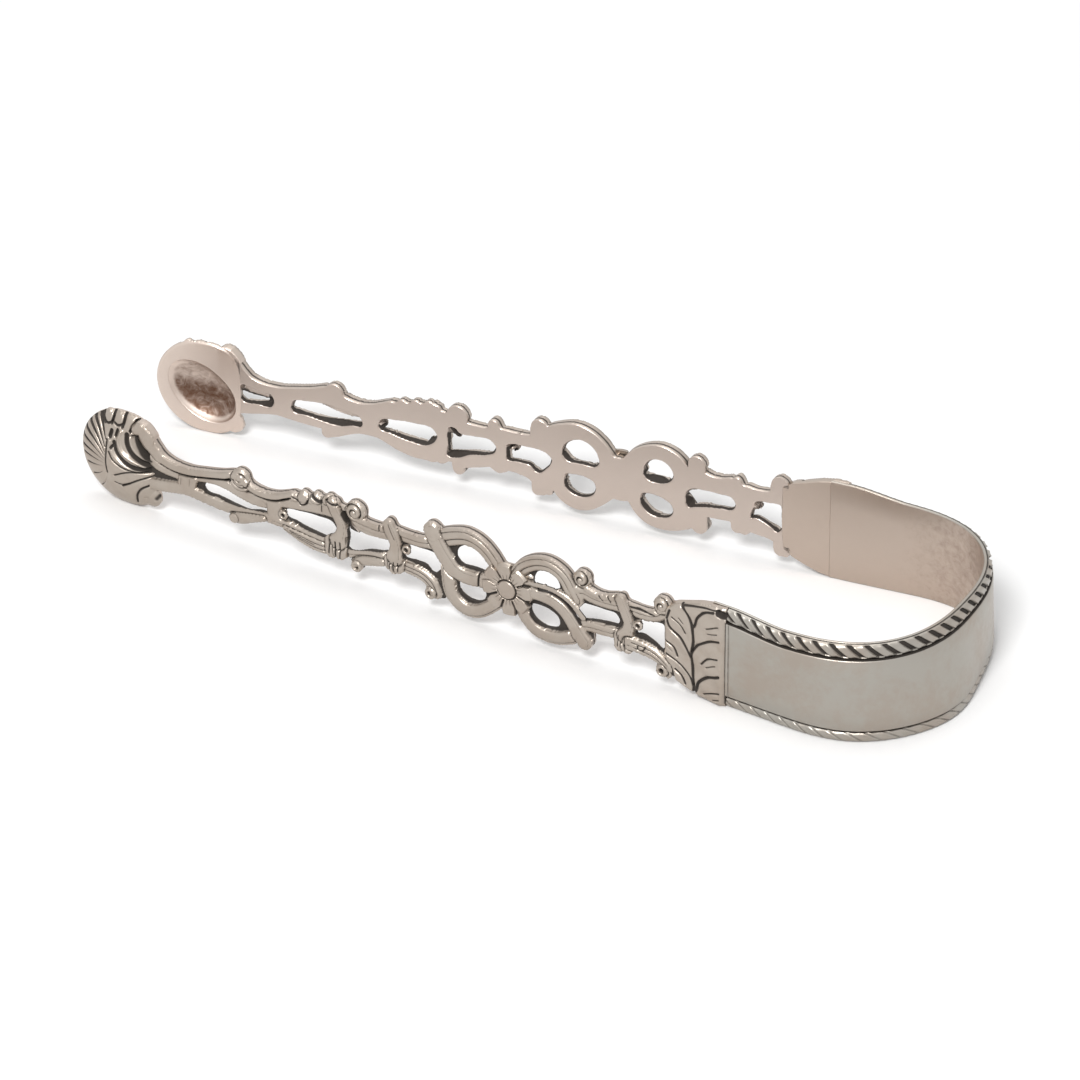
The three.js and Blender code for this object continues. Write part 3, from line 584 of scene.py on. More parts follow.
        # Hole walls get painted shade with their oxide, and the far arm's front row a painted reflection
        for share, in_hole, outside in zip(WALL_SHARES, HOLE_WALL_OXIDE_AND_SHADE[hand], OUTER_WALL_DARKNESS):
            points.append(lay_along_arm(x[rim:], back[rim:] + share * (front - back)[rim:], up[rim:]))
            groove.append(walls_dark * (outside + (in_hole - outside) * hole))
        on_walls = len(WALL_SHARES) * (count - rim)
        readings = {
            "groove": np.concatenate(groove),
            "tarnish": np.concatenate([np.zeros(count), tarnish, np.zeros(on_walls)]),
            "inner": np.concatenate([np.zeros(count), np.ones(count), np.full(on_walls, 0.5)]),
        }
        wall_starts = [2 * count + row * (count - rim) - rim for row in range(len(WALL_SHARES))]
        return np.concatenate(points), march(number, side_numbers, [0, *wall_starts, count]), readings


def march(number, side_numbers, levels):
    """Faces of the front, the back and the wall, from which corners of each cell lie within the outline.

    number holds the front's points at the grid's corners, and side_numbers those on the cells' sides along
    each axis, or -1. levels is what to add to them for the front, each row of the wall and the back.
    """
    corners = [number[:-1, :-1], number[1:, :-1], number[1:, 1:], number[:-1, 1:]]
    along, across = side_numbers
    sides = [along[:, :-1], across[1:], along[:, 1:], across[:-1]]
    case = sum((corner >= 0) * 2**bit for bit, corner in enumerate(corners))
    faces = []
    for kind in range(1, 16):
        here = case == kind
        order = []
        for bit in range(4):
            if kind >> bit & 1:
                order.append((corners[bit][here], False))
            if (kind >> bit & 1) != (kind >> (bit + 1) % 4 & 1):
                order.append((sides[bit][here], True))
        ring = np.stack([points for points, _ in order], axis=-1)
        faces += [ring[:, ::-1], ring + levels[-1]]
        for (start, start_cut), (end, end_cut) in zip(order, order[1:] + order[:1]):
            if start_cut and end_cut:
                for high, low in zip(levels, levels[1:]):
                    faces.append(np.stack([start + high, end + high, end + low, start + low], axis=-1))
    return faces


# Sections of the mouldings: rise and darkness across the width, from -1 on the right to 1 on the left


def half_round(across):
    """A rail: walls to three quarters of the height, then a flattened half round."""
    return 0.76 + 0.24 * np.sqrt(1 - np.abs(across) ** 3), np.zeros_like(across)


def flat_web(across):
    """Flat ground with rounded shoulders."""
    return 0.85 + 0.15 * np.sqrt(1 - np.abs(across) ** 6), np.zeros_like(across)


def loop_moulding(across):
    """An upper loop, from left to right: rim, broad half round and low band, with dark lines between."""
    rim = 0.76 + 0.16 * arch((across - 0.82) / 0.2)
    ridge = 0.76 + 0.24 * arch((across - 0.17) / 0.47)
    band = 0.74 + 0.14 * arch((across + 0.66) / 0.36)
    line = np.maximum(0.8 * mound(across - 0.62, 0.06), mound(across + 0.3, 0.08))
    return np.where(across > 0.62, rim, np.where(across > -0.3, ridge, band)), line


def lower_loop_moulding(across):
    """A lower loop: a broad, soft band, and a thin bead outside a dark line at the right edge."""
    band = 0.8 + 0.2 * arch(((across - 0.17) / 0.84) ** 2)
    bead = 0.7 + 0.14 * arch((across + 0.84) / 0.17)
    return np.where(across > -0.67, band, bead), 0.9 * mound(across + 0.67, 0.06)


def ribbon(across):
    """A strap: flat, with rounded shoulders and a faint line inside the left edge."""
    line = mound(across - 0.62, 0.07)
    return 0.8 + 0.2 * np.sqrt(1 - np.abs(across) ** 3.5) - 0.05 * line, 0.6 * line


def double_rail(across):
    """Two flattened half rounds side by side, the left one the higher, with a dark groove between them."""
    left = 0.8 + 0.2 * arch((across - 0.45) / 0.56)
    right = 0.72 + 0.16 * arch((across + 0.5) / 0.51)
    return np.where(across > -0.05, left, right), mound(across + 0.05, 0.08)


def leaf_flute(across):
    """A leaf: three rounded flutes with dark veins between them, lower towards the edges."""
    edge = np.abs(across)
    vein = mound(edge - 0.34, 0.09)
    return 0.76 + 0.24 * np.sqrt(1 - edge**3) - 0.12 * vein, 0.95 * vein


# Openwork: outlines of the holes as they show on the flat back, x along the arm and height above the table

SCROLL_HOLES = [
    [(-56.9, 7.0), (-56.3, 6.4), (-54, 6.35), (-51.7, 6.45), (-51.3, 7.4), (-51.8, 8.5), (-53.5, 8.7),
     (-55.3, 9.1), (-56.4, 9.2), (-56.9, 8.2)],
    [(-48.8, 7.2), (-48.5, 6.6), (-46, 6.3), (-43, 5.85), (-41, 5.75), (-39, 6.3), (-37.6, 6.5),
     (-37.4, 7.2), (-37.8, 8), (-40, 8.7), (-43, 9), (-46, 8.8), (-48.4, 8.2)],
    [(-35.1, 7.4), (-34.8, 6.9), (-33, 6.5), (-31, 6.05), (-29.5, 5.85), (-27.5, 5.8), (-26.1, 6.8),
     (-25.7, 7.8), (-26.4, 8.9), (-29, 9.2), (-32, 9), (-34.6, 8.4)],
    [(-24.4, 5.2), (-24, 4.9), (-22.5, 5), (-20.7, 5.9), (-18, 6.6), (-16.8, 7.2), (-16.5, 8.2),
     (-17.3, 9.2), (-20, 9.3), (-22.3, 9.3), (-22.9, 9.9), (-23.8, 9.9), (-24.2, 8.8), (-24.1, 7.2)],
]
SEAM_HOLE = [
    (-15, 7.4), (-14.9, 6.8), (-13, 6.65), (-11.2, 6.5), (-10.5, 5.8), (-9.7, 5.7), (-8.9, 6.4),
    (-8, 7.6), (-7.8, 8.3), (-8.6, 9.2), (-10, 9.6), (-12, 9.6), (-14, 9.5), (-14.8, 9.2),
]
LOOP_HOLES = [
    [(-6.3, 9.6), (-5.8, 9), (-3, 8.8), (-1, 8.9), (-0.5, 9.5), (-0.7, 10.8), (-1.5, 12), (-3, 12.75),
     (-4.6, 12.5), (-5.8, 11.6), (-6.3, 10.6)],
    [(-6.0, 5.6), (-5.8, 4.4), (-5.1, 3.8), (-4, 3.4), (-2.5, 3.5), (-1.4, 4.2), (-1, 5.2), (-1.3, 6.3),
     (-2.5, 6.85), (-4.5, 6.9), (-5.7, 6.6)],
    [(6.2, 9.6), (7, 8.8), (8, 8.6), (9.5, 8.8), (10.6, 9.5), (11, 10.4), (10.7, 11.4), (9.8, 12.3),
     (8.5, 12.6), (7.2, 12.1), (6.4, 10.9)],
    [(5.8, 5.5), (5.9, 4.7), (6.5, 3.8), (7.7, 3.2), (9.2, 3.1), (10.5, 3.6), (11, 4.5), (10.7, 5.6),
     (9.4, 6.4), (7.6, 6.7), (6.1, 6.4)],
    [(12.8, 6.6), (13.3, 5.9), (14.4, 6.2), (16, 6.6), (18, 6.9), (20.3, 7.4), (20.6, 8.2), (20, 9.2),
     (18, 9.4), (15.5, 9.4), (13.8, 9.2), (12.9, 8.3)],
    [(22.8, 7.2), (22.9, 6.6), (23.5, 6.8), (25.5, 6.2), (27.2, 5.4), (27.7, 6), (27.7, 8), (27.5, 9.9),
     (25.5, 9.9), (23.6, 9.5), (23.2, 8.4)],
]


# Lines chased into the front: x and height, with their width and depth

SCROLL_LINES = [
    (
        [(-55.4, 9.15), (-54.2, 8.75), (-52.6, 8.6), (-51, 8.68), (-48, 9.27), (-45, 10.0), (-43.6, 10.3)],
        0.17, 0.42,
    ),
    ([(-40.5, 9.75), (-39.5, 9.4), (-38.2, 9.25), (-36, 9.55), (-34.5, 10.2), (-33.3, 10.85)], 0.14, 0.38),
    ([(-52.1, 7.9), (-52.2, 6.8)], 0.1, 0.14),
    ([(-50.6, 8.2), (-50.7, 7.0)], 0.1, 0.14),
    ([(-33.0, 11.2), (-32.2, 11.0), (-31.7, 10.2), (-30.8, 10.6), (-30.4, 11.4)], 0.13, 0.3),
    ([(-29.6, 12.4), (-28.9, 12.0), (-28.2, 11.9)], 0.24, 0.5),
    ([(-28.2, 11.8), (-28.2, 10.2)], 0.11, 0.22),
    ([(-27.3, 12.5), (-26.5, 12.2), (-25.6, 12.2)], 0.16, 0.36),
    ([(-26.7, 6.3), (-26.8, 5.2), (-26.9, 4.0)], 0.12, 0.26),
    ([(-25.8, 6.2), (-25.8, 5.0), (-25.8, 3.4)], 0.13, 0.3),
    ([(-25.0, 6.3), (-25.0, 5.0), (-25.1, 3.6)], 0.12, 0.26),
    ([(-24.5, 11.0), (-23.8, 9.9), (-23.1, 9.2), (-22.5, 8.7)], 0.3, 0.9),
    ([(-18.6, 11.1), (-18.5, 10.2)], 0.11, 0.24),
    ([(-16.9, 12.0), (-16.5, 11.0), (-15.9, 9.8)], 0.1, 0.2),
    ([(-16.8, 6.0), (-16.8, 4.8)], 0.11, 0.24),
    ([(-16.1, 6.0), (-16.1, 4.4)], 0.11, 0.24),
    ([(-15.4, 6.1), (-15.4, 4.7)], 0.11, 0.24),
    ([(-33.5, 5.3), (-31.4, 4.7), (-29.5, 4.4)], 0.1, 0.2),
]
LOOP_LINES = [
    ([(-2.0, 8.7), (-2.1, 6.7)], 0.14, 0.4),
    ([(7.6, 9.35), (9.6, 9.4), (11.6, 8.75), (13.2, 7.4), (14.4, 5.9)], 0.2, 0.5),
    ([(20.5, 6.2), (20.4, 4.4)], 0.1, 0.2),
    ([(21.5, 6.2), (21.5, 3.9)], 0.1, 0.2),
    ([(22.3, 11.3), (23.8, 11.35), (26.0, 11.1)], 0.14, 0.42),
    ([(23.6, 5.4), (23.7, 4.9), (24.5, 5.0), (24.8, 5.6)], 0.12, 0.26),
    ([(17.4, 11.6), (17.9, 10.9)], 0.12, 0.26),
    ([(18.8, 11.9), (19.2, 11.0)], 0.12, 0.26),
]


def draw_scrolls(art, sizes, hand):
    """From the shell's neck to the seam: rails above and below, straps, hanging leaves and curls.

    The hole next to the shell is open on the far arm alone.
    """
    web, rail, loop, strap, knob = sizes.web, sizes.rail, sizes.loop, sizes.strap, sizes.knob
    neck = NECK_X - 1.4
    end = SEAM_X + 1.0
    # flat ground under the upper edge, and the posts between the holes
    art.stroke(
        [(neck, 9.6), (-55.8, 8.4), (-54, 8.2), (-52, 8.2), (-50, 8.7), (-47, 9.2), (-44.5, 9.1),
         (-42, 8.5), (-40, 8.2), (-37.5, 8.4)],
        [2, 1.7, 1.7, 1.5, 1.4, 1.4, 1.5, 1.7], web, flat_web,
    )
    art.stroke([(-51.2, 7.1), (-51, 8.2)], [2.9, 3.0], rail, flat_web)
    art.stroke([(-36.2, 7.2), (-36.3, 9)], [2.3, 2.4], rail, flat_web)
    art.stroke(
        [(-37.4, 9.2), (-34, 9.9), (-31, 10.4), (-28, 10.8), (-25.6, 11)],
        [2, 2.2], 1.1 * web, flat_web,
    )
    art.stroke([(-25, 11.2), (-22.4, 10.8)], [2, 2.2], web, flat_web)
    art.stroke([(-23.2, 10.4), (-21.5, 9.9), (-19.5, 9.85), (-17.4, 10)], [1.8, 1.9, 1.8], web, flat_web)
    art.stroke(
        [(-24.3, 9.7), (-23.3, 9.2), (-22.5, 8.7)],
        [1.2, 1.2, 0.8], 0.7 * web, flat_web, 0.0, 1.0,
    )
    # lower rail, with the lobe and the leaf that hang from it
    art.stroke(
        [(neck, 5.0), (-55, 5.45), (-53, 5.85), (-51, 6.1), (-49, 5.9), (-46, 5.6), (-43, 5.5),
         (-40, 5.8), (-37, 6.15)],
        [1.8, 1.4], rail, half_round,
    )
    art.stroke(
        [(-37.4, 6.15), (-34, 5.9), (-31, 5.55), (-28, 5.35), (-25.8, 5.4)],
        [1.4, 1.4], rail, double_rail,
    )
    art.stroke(
        [(-43, 4.3), (-41.6, 4.7), (-39.9, 5.25), (-38, 5.8)],
        [1.7, 1.6, 1.2, 0.8], loop, half_round, 0.35,
    )
    art.curl(-43.1, 4.25, 0.75, loop)
    art.curl(-34.7, 7.5, 0.7, rail)
    art.stroke(
        [(-34.4, 5.5), (-31.5, 4.75), (-29.5, 4.4), (-26.8, 4.3)],
        [0.8, 1.6, 1.9, 1.7], rail, leaf_flute, 0.25,
    )
    art.stroke(
        [(-25, 4.6), (-22, 5.15), (-20, 5.65), (-17.5, 5.95), (-16.2, 6.0)],
        [1.4, 1.4], rail, double_rail,
    )
    art.stroke(
        [(-17.4, 5.3), (-20.3, 4.7), (-21.8, 4.2), (-22.7, 3.5)],
        [0.9, 1.4, 1.5, 1.3], rail, half_round, 0.35,
    )
    art.curl(-22.4, 3.2, 0.9, loop)
    art.stroke([(-16.4, 5.8), (-14.5, 5.7), (end, 5.6)], [1.7, 1.7], rail, leaf_flute)
    # upper rail from the shell, the first knob and the rail after it
    art.stroke(
        [(neck, 12.3), (-56.9, 11.1), (-55.6, 9.95), (-54.2, 9.45), (-52.6, 9.25), (-51, 9.3),
         (-48, 9.9), (-45, 10.65), (-43.4, 11.2), (-42.2, 11.4)],
        [2.4, 2.0, 1.5, 1.2, 1.1, 1.1, 1.15], strap, half_round, 0.45,
    )
    art.stroke(
        [(-43.5, 10.2), (-42.6, 9.8), (-41.4, 9.8), (-40.7, 10)],
        [0.8, 1.4, 1.4, 0.8], rail, half_round, 0.2,
    )
    art.stroke(
        [(-41.5, 11.0), (-40, 10.15), (-38.2, 9.85), (-36, 10.1), (-34.5, 10.75), (-33, 11.4)],
        [1.2, 1.1, 1.0, 0.8], strap, half_round, 0.45,
    )
    art.eye(-41.9, 11.15, 1.4, knob, 1.2, -1)
    # row of small lobes along the upper edge
    art.stroke(
        [(-33.3, 11.0), (-31.5, 11.3), (-29.5, 11.7), (-27.5, 12.05), (-25.9, 12.2)],
        [1.3, 1.4], loop, half_round,
    )
    for x, up in ((-31.2, 11.7), (-29.1, 12.1), (-27.0, 12.45)):
        art.eye(x, up, 0.85, loop, 0.0, 1, 0.25)
    # first strap with its fluted foot, and the volute beside it
    for foot in ([(-26.5, 6.0), (-26.5, 4.4)], [(-25.1, 6.1), (-25.1, 4.5)]):
        art.stroke(foot, [2.1, 2.1], loop, flat_web, 0.35)
    art.stroke(
        [(-26.4, 12.2), (-25.8, 11), (-25.1, 9.8), (-24.8, 8.8), (-24.9, 7.8), (-25.4, 6.4)],
        [1.5, 1.7, 1.7, 1.5, 1.7, 2.6], strap, ribbon, 0.45,
    )
    art.eye(-22.6, 11.95, 1.65, knob, 1.4)
    # rail between the straps, up to the seam
    art.stroke(
        [(-22.4, 10.5), (-21, 10.3), (-19.5, 10.2), (-17.5, 10.3), (-15.8, 10.6), (-14, 10.55),
         (end, 10.6)],
        [1.8, 1.8], rail, double_rail,
    )
    for foot in ([(-16.8, 6), (-16.7, 5.2)], [(-16.1, 5.8), (-16.1, 4.9)], [(-15.3, 6), (-15.4, 5.2)]):
        art.stroke(foot, [1.7, 1.6], loop, flat_web, 0.3)
    art.stroke(
        [(-17, 11.8), (-16.7, 11), (-16.2, 10), (-15.9, 9.2), (-15.8, 8.2), (-16, 6.9)],
        [1.7, 2.1, 2, 1.8, 1.9, 2.6], strap, ribbon, 0.45,
    )
    art.curl(-14.1, 8.6, 0.75, rail)
    holes = SCROLL_HOLES if hand == "far" else SCROLL_HOLES[1:]
    art.pierce([*holes, SEAM_HOLE])
    art.chase(SCROLL_LINES)
    art.inside = np.minimum(art.inside, np.minimum(SEAM_X - SEAM_GAP - art.x, art.x - NECK_X + 0.9))


def draw_loops(art, sizes, flower_radius, hand):
    """From the seam to the leaf: two S straps, two upper and two lower loops, and scrolls beside the leaf.

    The bar above the second strap is on the near arm alone.
    """
    web, rail, loop, strap, knob = sizes.web, sizes.rail, sizes.loop, sizes.strap, sizes.knob
    start = SEAM_X - 1.0
    # flat ground under the flower
    art.stroke(
        [(FLOWER_X - 0.1, FLOWER_UP), (FLOWER_X + 0.1, FLOWER_UP)],
        [1.7 * flower_radius] * 2, web, flat_web,
    )
    art.stroke([(-9.2, 4.6), (-8.5, 3.6), (-8.3, 3)], [1.0, 1.2], 0.8 * web, flat_web, 0.0, 0.9)
    art.stroke([(4.9, 10.6), (5.9, 10.2)], [1.7, 1.5], web, flat_web)
    # fluted scroll that turns down beside the first loop
    art.stroke(
        [(start, 5.6), (-12.2, 5.5), (-10.8, 5.0), (-9.8, 4.1), (-9.4, 3.1)],
        [1.7, 1.8, 1.9, 2.0], rail, leaf_flute,
    )
    art.curl(-10.1, 2.85, 0.9, loop)
    art.stroke([(start, 10.6), (-12, 10.6), (-10.4, 10.9), (-8.8, 11.1)], [1.8, 1.8], rail, double_rail)
    # first pair of loops, and the strap that crosses them
    art.stroke(
        [(-7.3, 8.4), (-7.15, 5.9), (-6.7, 3.9), (-5.4, 2.6), (-3.8, 2.1), (-2.1, 2.5), (-0.5, 3.6),
         (1, 5)],
        [2.2, 2.2, 2.0, 1.9, 1.9], loop, lower_loop_moulding, 0.4,
    )
    art.stroke(
        [(-8.3, 12.4), (-6.4, 13.3), (-4, 13.9), (-2.1, 13.45), (-0.5, 12.3), (0.5, 11.1), (1.3, 10)],
        [2.6, 2.5, 2.3, 2.2], loop, loop_moulding, 0.35,
    )
    art.stroke(
        [(-9.9, 13.2), (-9.2, 11.9), (-8.3, 10.5), (-7.2, 9.1), (-6, 8.0), (-4.2, 7.5), (-2.4, 7.6),
         (0.4, 7.9)],
        [2.5, 2.6, 2.5, 2.2, 2.1, 2.1], strap, ribbon, 0.5,
    )
    art.eye(-9.7, 13.0, 1.3, knob, 0.0, 1, 0.1)
    # second pair of loops, the bar above the strap and the strap
    art.stroke(
        [(4.5, 5.8), (5.5, 3.9), (7.0, 2.6), (9, 2.15), (10.8, 2.35), (13, 3.2)],
        [1.9, 1.9, 1.9, 2.0], loop, lower_loop_moulding, 0.4,
    )
    art.stroke(
        [(3.6, 10.3), (5, 12.1), (7, 13.35), (9, 13.75), (10.9, 13.15), (12.1, 12), (12.8, 10.8),
         (13.6, 9.5)],
        [2, 2.1, 2.2, 2.3, 2.2], loop, loop_moulding, 0.35,
    )
    if hand == "near":
        art.stroke(
            [(5.6, 9.6), (9, 9.95), (11.6, 9.5), (13.4, 8.4), (14.8, 7.0)],
            [0.9, 0.8], rail, flat_web, 0.4,
        )
    art.stroke(
        [(5, 8.2), (8, 8.4), (10, 8.15), (11.9, 7.05), (13.3, 5.4), (14.4, 3.9), (15, 3.2)],
        [1.7, 1.7, 1.9, 2.2, 2.4], strap, ribbon, 0.5,
    )
    # scrolls beside the leaf
    art.stroke(
        [(14, 5.5), (16, 5.85), (18, 5.95), (20.5, 6.1), (22, 6.1)],
        [1.6, 1.6], rail, double_rail,
    )
    art.stroke(
        [(13.2, 10.4), (14.6, 11), (16.2, 10.7), (18, 10.6), (20, 10.7), (22, 10.8), (24, 10.65),
         (26.2, 11), (27.4, 11.8)],
        [2.2, 1.9, 1.8, 1.8, 1.7], rail, double_rail,
    )
    art.eye(14.5, 13.2, 1.35, knob)
    art.stroke(
        [(15.4, 11.9), (16.8, 11.5), (18.2, 11.5), (19.8, 11.9)],
        [1.0, 0.9, 0.9, 1.0], loop, half_round,
    )
    for foot in ([(20.8, 6), (20.8, 4.6)], [(21.9, 6.1), (21.9, 4.6)]):
        art.stroke(foot, [1.9, 1.9], loop, flat_web, 0.35)
    art.stroke(
        [(20.7, 12), (21.2, 10.8), (21.75, 9.5), (22.1, 8.4), (21.9, 7.3), (21.5, 6.3)],
        [1.4, 1.6, 1.6, 1.5, 1.8, 2.4], strap, ribbon, 0.45,
    )
    art.curl(23.5, 8.6, 0.75, rail)
    art.stroke(
        [(22.2, 5.4), (24.2, 5.2), (26, 4.85), (27.4, 4.1), (28.3, 3.2), (28.3, 2.4)],
        [2, 2.1, 1.9, 1.6, 1.4], loop, leaf_flute, 0.3,
    )
    art.curl(27.4, 2.6, 0.95, loop)
    art.eye(27.3, 13.05, 1.4, knob)
    art.pierce([*LOOP_HOLES, SEAM_HOLE])
    art.chase(LOOP_LINES)
    art.inside = np.minimum(art.inside, art.x - SEAM_X - SEAM_GAP)
    # just within the leaf's edge the back steps into the leaf
    in_leaf = (art.x > leaf_edge(art.up) + 0.1) & (art.up > 3.4) & (art.up < 13)
    art.back = np.maximum(art.back, 0.4 * in_leaf)


# Leaf terminal: chased lines as x and height, with their width and depth

LEAF_LINES = [
    ([(30.4, 14.5), (31.8, 12.5), (32.4, 10.5), (32.3, 8), (32.2, 7), (32.5, 4), (32.6, 0.3)], 0.2, 0.42),
    ([(28.2, 11.2), (28.5, 10.5), (30.5, 9), (31.5, 7.6), (32.1, 6.3)], 0.18, 0.36),
    ([(28, 7.9), (29.3, 7.2), (30, 6)], 0.15, 0.28),
    ([(28.1, 5.8), (30.5, 4.8), (32, 3.3), (32.5, 1.8)], 0.17, 0.34),
    ([(29, 11.9), (30.5, 11), (31.1, 10)], 0.15, 0.26),
    ([(27.8, 4.8), (28.8, 3.8), (29.4, 2.2)], 0.25, 0.4),
    ([(29.6, 3.7), (30.6, 3), (31.3, 1.9)], 0.15, 0.28),
    ([(28.4, 6.9), (29.1, 6.5)], 0.12, 0.14),
    ([(30.1, 12.2), (30.8, 11.5)], 0.12, 0.2),
    ([(28.6, 12.9), (28.1, 11.4)], 0.2, 0.3),
    ([(32.5, 11.5), (33.3, 13.5), (34.5, 14.5), (35.6, 14.8)], 0.19, 0.36),
    ([(32.2, 7.3), (33.2, 8.8), (34.5, 9.7), (36.5, 10.4)], 0.18, 0.36),
    ([(32.9, 1.2), (33.5, 3), (34.7, 4), (36.5, 4.7)], 0.21, 0.42),
    ([(34.5, 11.9), (36.3, 12.6)], 0.13, 0.22),
    ([(34.7, 11.1), (36.2, 11.5)], 0.12, 0.2),
    ([(33.8, 6), (34.6, 6.9), (36.3, 7.5)], 0.15, 0.28),
    ([(34.6, 5.7), (35.9, 6.2)], 0.12, 0.2),
    ([(34.2, 1.2), (35.2, 1.7), (36.6, 2)], 0.14, 0.24),
    ([(35.7, 0.75), (36.6, 1)], 0.13, 0.22),
    ([(30.9, 14.35), (32.4, 14.75), (34.2, 15.1), (36.6, 15.2)], 0.13, 0.32),
    ([(36.5, 15.0), (37.4, 14.7)], 0.42, 0.95),
    ([(37.4, 0.6), (37.4, 13.6)], 0.12, 0.2),
]


def leaf_edge(up):
    """The leaf's edge on the side of the loops: x at each height, along straight pieces."""
    shares = [0, 0.08, 0.2, 0.35, 0.5, 0.7, 0.85, 1]
    return np.interp(up / (2 * MID_HEIGHT), shares, [30.0, 28.9, 28.0, 27.75, 27.7, 27.7, 27.8, 28.4])


def draw_leaf(art, sizes):
    """The acanthus end: a pillow between two curved edges, chased with a spine and the veins of its lobes.

    The back steps out where the end of the bow laps behind it.
    """
    x, up = art.x, art.up
    stations = [27.6, 28.4, 29.3, 31.2, 33.2, 35.2, 37.5]
    top = MID_HEIGHT + np.interp(x, stations, [5.2, 5.6, 6.15, 6.75, 7.4, 7.78, 7.9])
    bottom = MID_HEIGHT - np.interp(x, stations, [4.6, 5.1, 5.9, 6.7, 7.4, 7.78, 7.9])
    end = BOW_JOINT_X - 0.02 - x
    edge = np.minimum(np.minimum(top - up, up - bottom), x - leaf_edge(up))
    art.inside = np.minimum(edge, end)
    shoulder = arch(1 - np.clip(edge / 0.6, 0, 1))
    swell = 0.1 * np.cos(1.9 * (up + 0.7 * x)) * smoothstep(28, 30, x) * (1 - smoothstep(36, 37.2, x))
    swell = swell * (1 - smoothstep(-1.2, -0.6, up - top))
    art.front = sizes.leaf * (0.55 + 0.45 * shoulder) + swell - 0.35 * smoothstep(36.7, 37.4, x)
    art.back = (LAP_THICKNESS + 0.03) * (x > LAP_X - 0.01)
    art.chase(LEAF_LINES)
    art.front = np.maximum(art.front, art.back + 0.15)


def draw_flower(skin, sizes, petals, ground):
    """Petals round a boss, on a flat back, as rings from the middle of the back to the middle of the front.

    Petals meet in a thin dark line that widens to a wedge at their outer ends; the distance from that
    line, in millimetres, is the radius times the angle from the nearest gap. The boss is a low dome in a
    thin dark ring.
    """
    angle = np.linspace(0, 2 * math.pi, 320, endpoint=False)[None, :]
    turn = np.mod(petals * angle / (2 * math.pi) + 0.35, 1)
    away = np.minimum(turn, 1 - turn) * 2 * math.pi / petals
    back_shares, front_shares = np.linspace(0.1, 0.98, 8), np.linspace(0.997, 0.01, 90)
    share = np.concatenate([[0.01], back_shares, [1.0], front_shares])[:, None]
    front = (np.arange(len(share)) >= len(share) - len(front_shares))[:, None]
    blunt = 1 - smoothstep(0.02, 0.16, away)
    reach = sizes.radius * share * (1 - 0.16 * blunt * smoothstep(0.4, 1, share))
    boss = sizes.boss_radius
    petal_share = np.clip((reach - boss) / (sizes.radius - boss), 0, 1)
    wedge = 0.06 + 0.4 * smoothstep(0.55, 0.95, petal_share)
    gap = 1 - smoothstep(wedge, wedge + 0.16, reach * away)
    gap = gap * smoothstep(0.05, 0.2, petal_share)
    cup = (0.72 + 0.28 * petal_share) * np.sqrt(1 - 0.7 * smoothstep(0.86, 1.0, petal_share))
    hatch = mound(np.abs(turn - 0.5) - 0.18, 0.05) * (reach > boss)
    hatch = hatch * (1 - smoothstep(0.25, 0.6, petal_share))
    ring = mound(reach - boss, 0.12)
    dome = sizes.boss_depth * (0.75 + 0.25 * arch(np.clip(reach / boss, 0, 1)))
    rise = np.where(reach < boss, dome, sizes.depth * cup * (1 - 0.75 * gap)) - 0.08 * hatch - 0.25 * ring
    out = np.where(front, ground + rise, ground - 0.05 + 0 * reach)
    dark = np.where(front, np.maximum(np.maximum(ring, gap), 0.6 * hatch), 0.0)
    x, up = FLOWER_X + reach * np.cos(angle), FLOWER_UP + reach * np.sin(angle)
    skin.add_rings(lay_along_arm(x, out, up), groove=dark)


# Shell grip: chased lines as x and height, with their width and depth; a depth below zero is a rib

SHELL_RAYS = [
    ([(-64.9, 6.6), (-66.8, 6.6), (-69.2, 6.5)], 0.2, 0.34),
    ([(-64.9, 7.0), (-67, 7.5), (-69.5, 7.7)], 0.22, 0.42),
    ([(-64.9, 7.4), (-67, 8.5), (-69.4, 9.2)], 0.24, 0.5),
    ([(-64.8, 7.9), (-66.8, 9.6), (-69, 10.7)], 0.27, 0.6),
    ([(-64.8, 8.5), (-66.4, 10.6), (-68.4, 12.1)], 0.29, 0.65),
    ([(-64.7, 9.3), (-66, 11.6), (-67.5, 13.2)], 0.3, 0.7),
    ([(-64.6, 10.4), (-65.4, 12.3), (-66.4, 14.0)], 0.3, 0.7),
    ([(-64.9, 6.1), (-66.6, 5.6), (-68.4, 5.2)], 0.18, 0.28),
    ([(-64.8, 5.6), (-66, 4.4), (-67.4, 3.6)], 0.16, 0.24),
    ([(-64.3, 4.8), (-65.2, 3), (-66.1, 2)], 0.15, 0.2),
]
